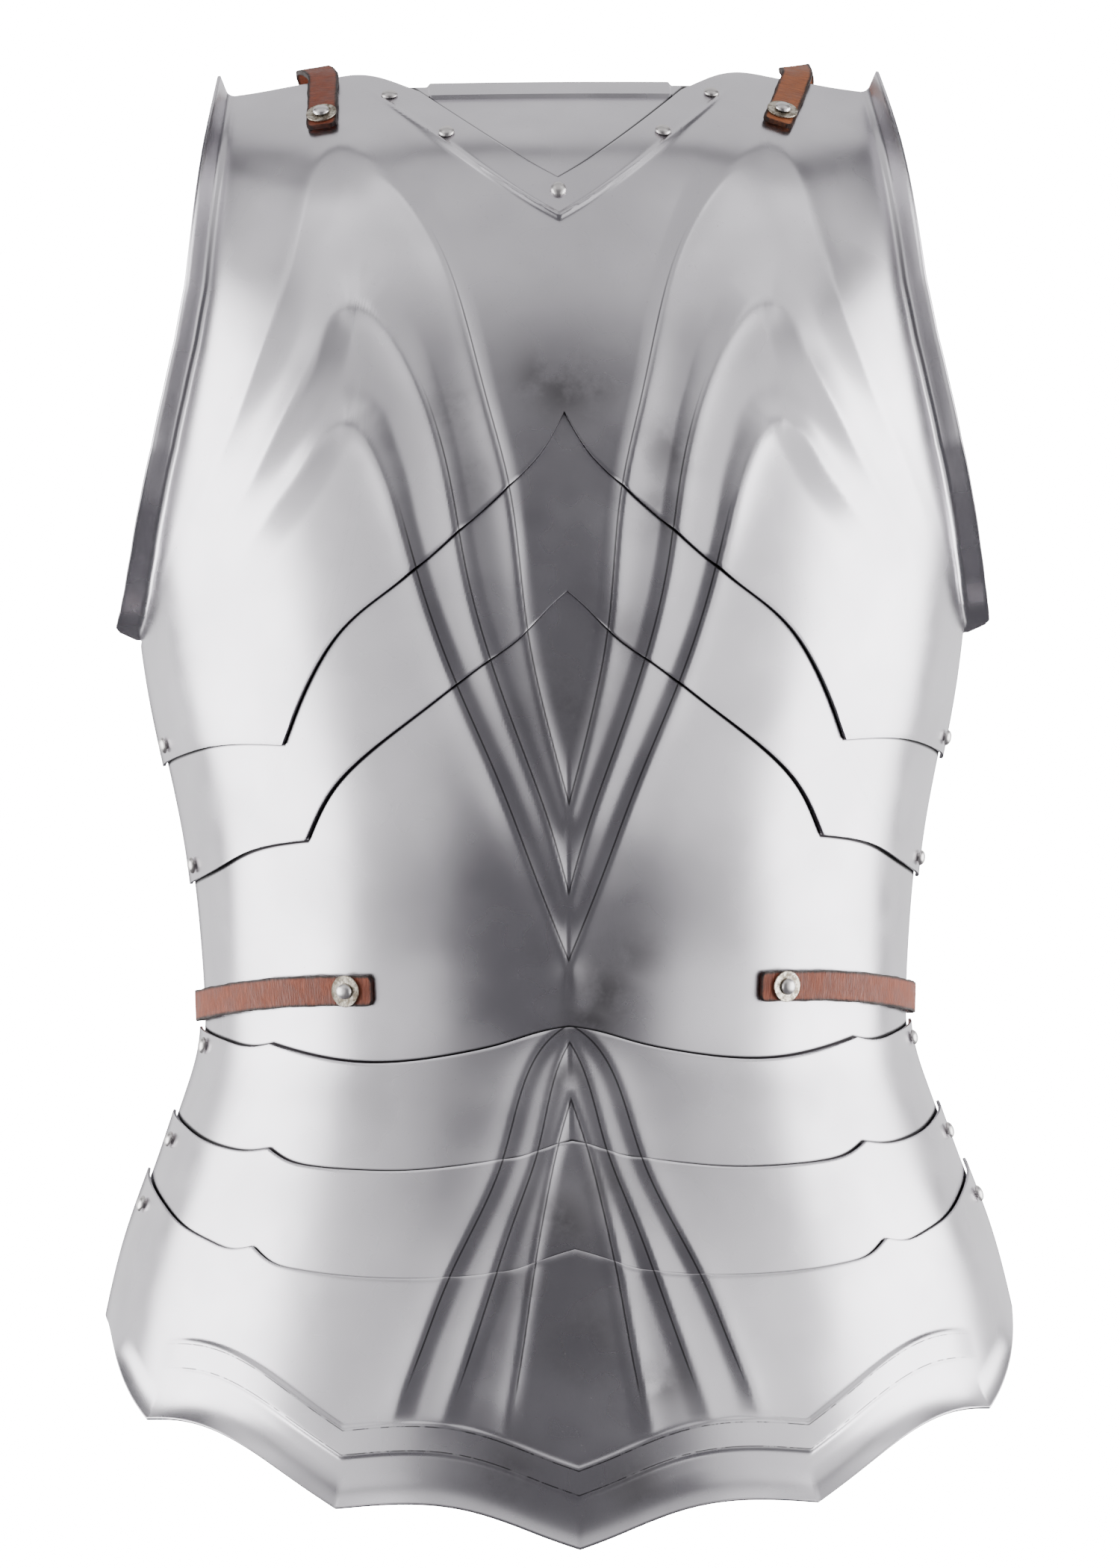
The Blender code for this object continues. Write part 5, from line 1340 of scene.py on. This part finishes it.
def kept(material, label):
    """A value that was kept at the vertices."""
    return add_node(material, "Attribute", attribute_name=label).outputs["Fac"]


def line(material, label, at, half_mm):
    """1 where a kept distance is within half_mm of a value, with a soft edge."""
    apart = combine(material, "SUBTRACT", kept(material, label), at)
    return spread(material, combine(material, "ABSOLUTE", apart, 0.0), half_mm, LINE_CORE * half_mm)


def painted_shade_lines(material):
    """How dark the painted shade in the creases and along the embossed lines and the painted shadows under
    cut edges are, 0 to 1.
    """
    # A painted shadow line beside the edge of each covering plate
    shade_marks = line(material, "cover", SHADOW_MM - SHADOW_HALF_MM, SHADOW_HALF_MM)
    # Thin lines of painted shade in the creases beside the crests
    for number in (1, 2, 3):
        crease = line(material, f"rib_{number}", -CREASE_MM, CREASE_HALF_MM)
        crease = combine(material, "MULTIPLY", crease, kept(material, f"crisp_{number}"))
        shade_marks = combine(material, "MAXIMUM", shade_marks, combine(material, "MULTIPLY", crease, CREASE_SHADE))
    broken = spread(material, object_noise(material, 5, detail=3), 0.40, 0.52, 0.25, 1.0)
    # Broken lines of painted shade along the two embossed lines
    for place in (BORDER_LOWER, BORDER_UPPER):
        crease = line(material, "above_edge", 1000 * place, BORDER_HALF_MM)
        crease = combine(material, "MULTIPLY", crease, broken)
        crease = combine(material, "MULTIPLY", crease, kept(material, "bordered"))
        shade_marks = combine(material, "MAXIMUM", shade_marks, combine(material, "MULTIPLY", crease, BORDER_SHADE))
    return shade_marks


def polished_steel(name, bright, dim, roughness, pit_share, lined):
    """bright, dim: the two greys that the polish drifts between."""
    material, shader = new_material(name, 1.0, roughness)
    drift = spread(material, object_noise(material, 70, detail=3), 0.35, 0.68)
    colour = mix_colour(material, drift, linear(bright), linear(dim))
    # Clouded dark spots towards #454145: partly dull steel, partly painted dark reflection and painted shadow
    clouds = spread(material, object_noise(material, 20, detail=5), 0.34, 0.60, 0.25, 1.0)
    dull_shade_clouds = combine(material, "MULTIPLY", kept(material, "dull_shade"), clouds)
    share = combine(material, "MULTIPLY", dull_shade_clouds, DULL_SHADE_DARK)
    colour = mix_colour(material, share, colour, linear("#454145"))
    # Near-black lines of painted shade in the creases and painted shadow under covering edges
    if lined:
        colour = mix_colour(material, painted_shade_lines(material), colour, linear("#171517"))
    specks = spread(material, object_noise(material, 0.8, detail=1), 0.74, 0.80)
    share = combine(material, "MULTIPLY", specks, pit_share)
    colour = mix_colour(material, share, colour, linear("#3A3636"))
    feed(material, colour, shader, "Base Color")
    haze = object_noise(material, 40, detail=2)
    rough = spread(material, haze, 0.3, 0.7, roughness - 0.03, roughness + 0.03)
    rough = combine(material, "ADD", rough, combine(material, "MULTIPLY", dull_shade_clouds, DULL_ROUGH))
    feed(material, rough, shader, "Roughness")
    normal = bump(material, object_noise(material, 42, detail=0), 0.30)
    normal = bump(material, object_noise(material, 0.3, stretch=(1, 1, 18), detail=2), 0.0015, normal)
    normal = bump(material, specks, -0.02, normal)
    feed(material, normal, shader, "Normal")
    return material


plate_steel = polished_steel("polished plate steel", "#E3E0E5", "#D6D3D8", 0.27, 0.3, lined=True)
rivet_steel = polished_steel("struck rivet steel", "#EEEBEA", "#D8D4D2", 0.36, 0.4, lined=False)
print("steel nodes:", len(plate_steel.node_tree.nodes))

# %% [markdown]
# ## Aged nickel
#
# The washers are plated brass. Handling has dulled the plating to a warm grey and kept its rim bright.

# %% Aged nickel
def aged_nickel():
    material, shader = new_material("aged nickel", 1.0, 0.36)
    patches = spread(material, object_noise(material, 2.6, detail=6, roughness=0.65), 0.38, 0.62)
    colour = mix_colour(material, patches, linear("#C9C2B4"), linear("#7C7264"))
    spots = spread(material, object_noise(material, 0.8, detail=3), 0.58, 0.7)
    colour = mix_colour(material, spots, colour, linear("#4A4138"))
    feed(material, colour, shader, "Base Color")
    feed(material, spread(material, patches, 0, 1, 0.26, 0.46), shader, "Roughness")
    normal = bump(material, object_noise(material, 1.6, detail=3), 0.08)
    feed(material, bump(material, object_noise(material, 0.2, detail=2), 0.01, normal), shader, "Normal")
    return material


aged_metal = aged_nickel()
print("nickel nodes:", len(aged_metal.node_tree.nodes))

# %% [markdown]
# ## Leather
#
# Vegetable-tanned leather goes red-brown with wear. Fine creases run across a strap where it bends,
# the grain shows as tiny pits, and the cut edges are burnished dark.

# %% Leather
EDGE_BURN = 0.0016      # width of the dark band along an edge
EDGE_FUZZ = 0.0012      # how unevenly it ends
CREASE_SCALE = (120, 1500, 1)   # creases to a metre, across and along a strap


def strap_leather(name, main, light, dark, edge):
    material, shader = new_material(name, 0.0, 0.5)
    shader.inputs["Specular IOR Level"].default_value = 0.42
    along, across = kept(material, "along"), kept(material, "across")
    flat = add_node(material, "CombineXYZ", {"X": across, "Y": along}).outputs["Vector"]
    blotch = spread(material, object_noise(material, 9, detail=5), 0.32, 0.68)
    colour = mix_colour(material, blotch, linear(main), linear(light))
    mapped = add_node(material, "Mapping", {"Vector": flat, "Scale": CREASE_SCALE})
    creases = add_node(material, "TexNoise", {
        "Vector": mapped.outputs["Vector"], "Scale": 1.0, "Detail": 4.0, "Roughness": 0.6, "Distortion": 0.4})
    crease = spread(material, creases.outputs["Fac"], 0.40, 0.60)
    colour = mix_colour(material, combine(material, "MULTIPLY", crease, 0.45), colour, linear(dark))
    fuzz = combine(material, "MULTIPLY", object_noise(material, 1.1, detail=4), EDGE_FUZZ)
    side = combine(material, "ADD", combine(material, "ABSOLUTE", across, 0.0), fuzz)
    half = STRAP_WIDTH / 2
    burn = spread(material, side, half - EDGE_BURN + 0.0004, half + 0.0002)
    end = spread(material, combine(material, "ADD", along, fuzz), EDGE_BURN + 0.0004, 0.0002)
    burn = combine(material, "MAXIMUM", burn, end)
    colour = mix_colour(material, burn, colour, linear(edge))
    pores = object_noise(material, 0.45, detail=3)
    colour = mix_colour(material, spread(material, pores, 0.62, 0.72, 0, 0.5), colour, linear(dark))
    feed(material, colour, shader, "Base Color")
    feed(material, spread(material, blotch, 0, 1, 0.42, 0.6), shader, "Roughness")
    normal = bump(material, crease, -0.12)
    normal = bump(material, pores, -0.05, normal)
    feed(material, normal, shader, "Normal")
    return material


brown_leather = strap_leather("red-brown strap leather", "#85412A", "#9A5138", "#54281A", "#24130E")
tan_leather = strap_leather("tan strap leather", "#A05A34", "#B36A42", "#6B3A22", "#2E190F")
print("leather nodes:", len(brown_leather.node_tree.nodes))

# %% [markdown]
# ## Studio
#
# Metal looks like what it mirrors. Two tall soft boxes stand left and right of the armour and draw
# the bright panels on its sides, and weaker ones fill in between and above. The room in front is
# left dim, which keeps the middle of the plates dark. A pale round room gives the plain ground.

# %% Studio
# azimuth: degrees round the object from the front, wearer's left positive; up: degrees above it
# radiance: how bright the box's face is; wide, tall: metres
SoftBox = namedtuple("SoftBox", "name azimuth up away wide tall radiance")
SOFT_BOXES = (
    SoftBox("left_key", 86, -2, 2.0, 1.9, 2.0, 6.5), SoftBox("right_key", -88, -2, 2.0, 1.9, 2.0, 6.0),
    SoftBox("left_fill", 43, -2, 2.2, 1.3, 2.2, 1.1), SoftBox("right_fill", -46, -2, 2.2, 1.3, 2.2, 0.9),
    SoftBox("left_upper", 58, 42, 2.2, 1.2, 1.0, 1.0), SoftBox("right_upper", -58, 42, 2.2, 1.2, 1.0, 0.95),
    SoftBox("left_rim", 142, 0, 2.2, 1.6, 2.2, 1.2), SoftBox("right_rim", -142, 0, 2.2, 1.6, 2.2, 1.2),
    SoftBox("top", 0, 62, 2.2, 3.0, 2.2, 0.62), SoftBox("back_top", 180, 55, 2.2, 3.0, 2.4, 0.8),
)
CHEST = Vector((0, -0.05, 0.10))    # what the boxes face
ROOM_RADIUS, ROOM_HEIGHT = 9.0, 10.0
ROOM_SWEEP = 1.0            # radius of the curve from floor to wall
FLOOR_HEIGHT = -0.95
GROUND_GLOW = 20.0
WORLD_STRENGTH = 0.24


def add_softbox(box):
    around, up = math.radians(box.azimuth), math.radians(box.up)
    way = Vector((math.sin(around) * math.cos(up), -math.cos(around) * math.cos(up), math.sin(up)))
    bpy.ops.object.light_add(type="AREA", location=CHEST + box.away * way)
    light = bpy.context.object
    light.name = box.name + "_box"
    light.data.shape = "RECTANGLE"
    light.data.size, light.data.size_y = box.wide, box.tall
    light.data.energy = box.radiance * math.pi * box.wide * box.tall
    light.rotation_euler = (-way).to_track_quat("-Z", "Y").to_euler()


def add_room():
    """A pale round room, so that the object has paper behind it from every side."""
    bpy.ops.mesh.primitive_cylinder_add(vertices=96, radius=ROOM_RADIUS, depth=ROOM_HEIGHT)
    room = bpy.context.object
    room.name = "pale_room"
    bpy.ops.object.mode_set(mode="EDIT")
    bpy.ops.mesh.select_all(action="SELECT")
    bpy.ops.transform.translate(value=(0, 0, FLOOR_HEIGHT + ROOM_HEIGHT / 2))
    bpy.ops.mesh.flip_normals()
    bpy.ops.object.mode_set(mode="OBJECT")
    bevel = room.modifiers.new("sweep", "BEVEL")
    bevel.width = ROOM_SWEEP
    bevel.segments = 10
    bpy.ops.object.modifier_apply(modifier=bevel.name)
    bpy.ops.object.shade_smooth()
    material, shader = new_material("pale paper", 0.0, 0.9)
    tint = mix_colour(
        material, object_noise(material, 900, detail=2), linear("#FFFFFF"), linear("#F8F8F8"))
    feed(material, tint, shader, "Base Color")
    feed(material, tint, shader, "Emission Color")
    shader.inputs["Emission Strength"].default_value = GROUND_GLOW
    room.data.materials.append(material)
    room.visible_glossy = False
    room.visible_diffuse = False
    room.visible_shadow = False


add_room()
for box in SOFT_BOXES:
    add_softbox(box)
world = bpy.data.worlds.new("dim room")
scene.world = world
world.use_nodes = True
world.node_tree.nodes["Background"].inputs["Color"].default_value = linear("#B4B2BA")
world.node_tree.nodes["Background"].inputs["Strength"].default_value = WORLD_STRENGTH
print("soft boxes:", len(SOFT_BOXES))

# %% [markdown]
# ## Dress the frame
#
# Each piece gets its material, rides the body it belongs to, and stands for its solid in the frame.

# %% Dress the frame
LAMES = {"fauld_lame_1": "lame_1", "fauld_lame_2": "lame_2", "fauld_lame_3": "lame_3"}


def body_of(node):
    for name, body in LAMES.items():
        if node == name or node.startswith("rivet_" + body):
            return body
    return "main"


def dress(thing, node, material):
    thing.data.materials.clear()
    thing.data.materials.append(material)
    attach(thing, body_of(node))
    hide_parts(node)


for node, plate in plates.items():
    dress(plate, node, plate_steel)
for node, rivet in rivets.items():
    dress(rivet, node, rivet_steel)
for node, washer in washers.items():
    dress(washer, node, aged_metal)
for node, strap in straps.items():
    tan = node == "shoulder_strap_left"
    dress(strap, node, tan_leather if tan else brown_leather)
dress(clasp, "back_clasp", aged_metal)
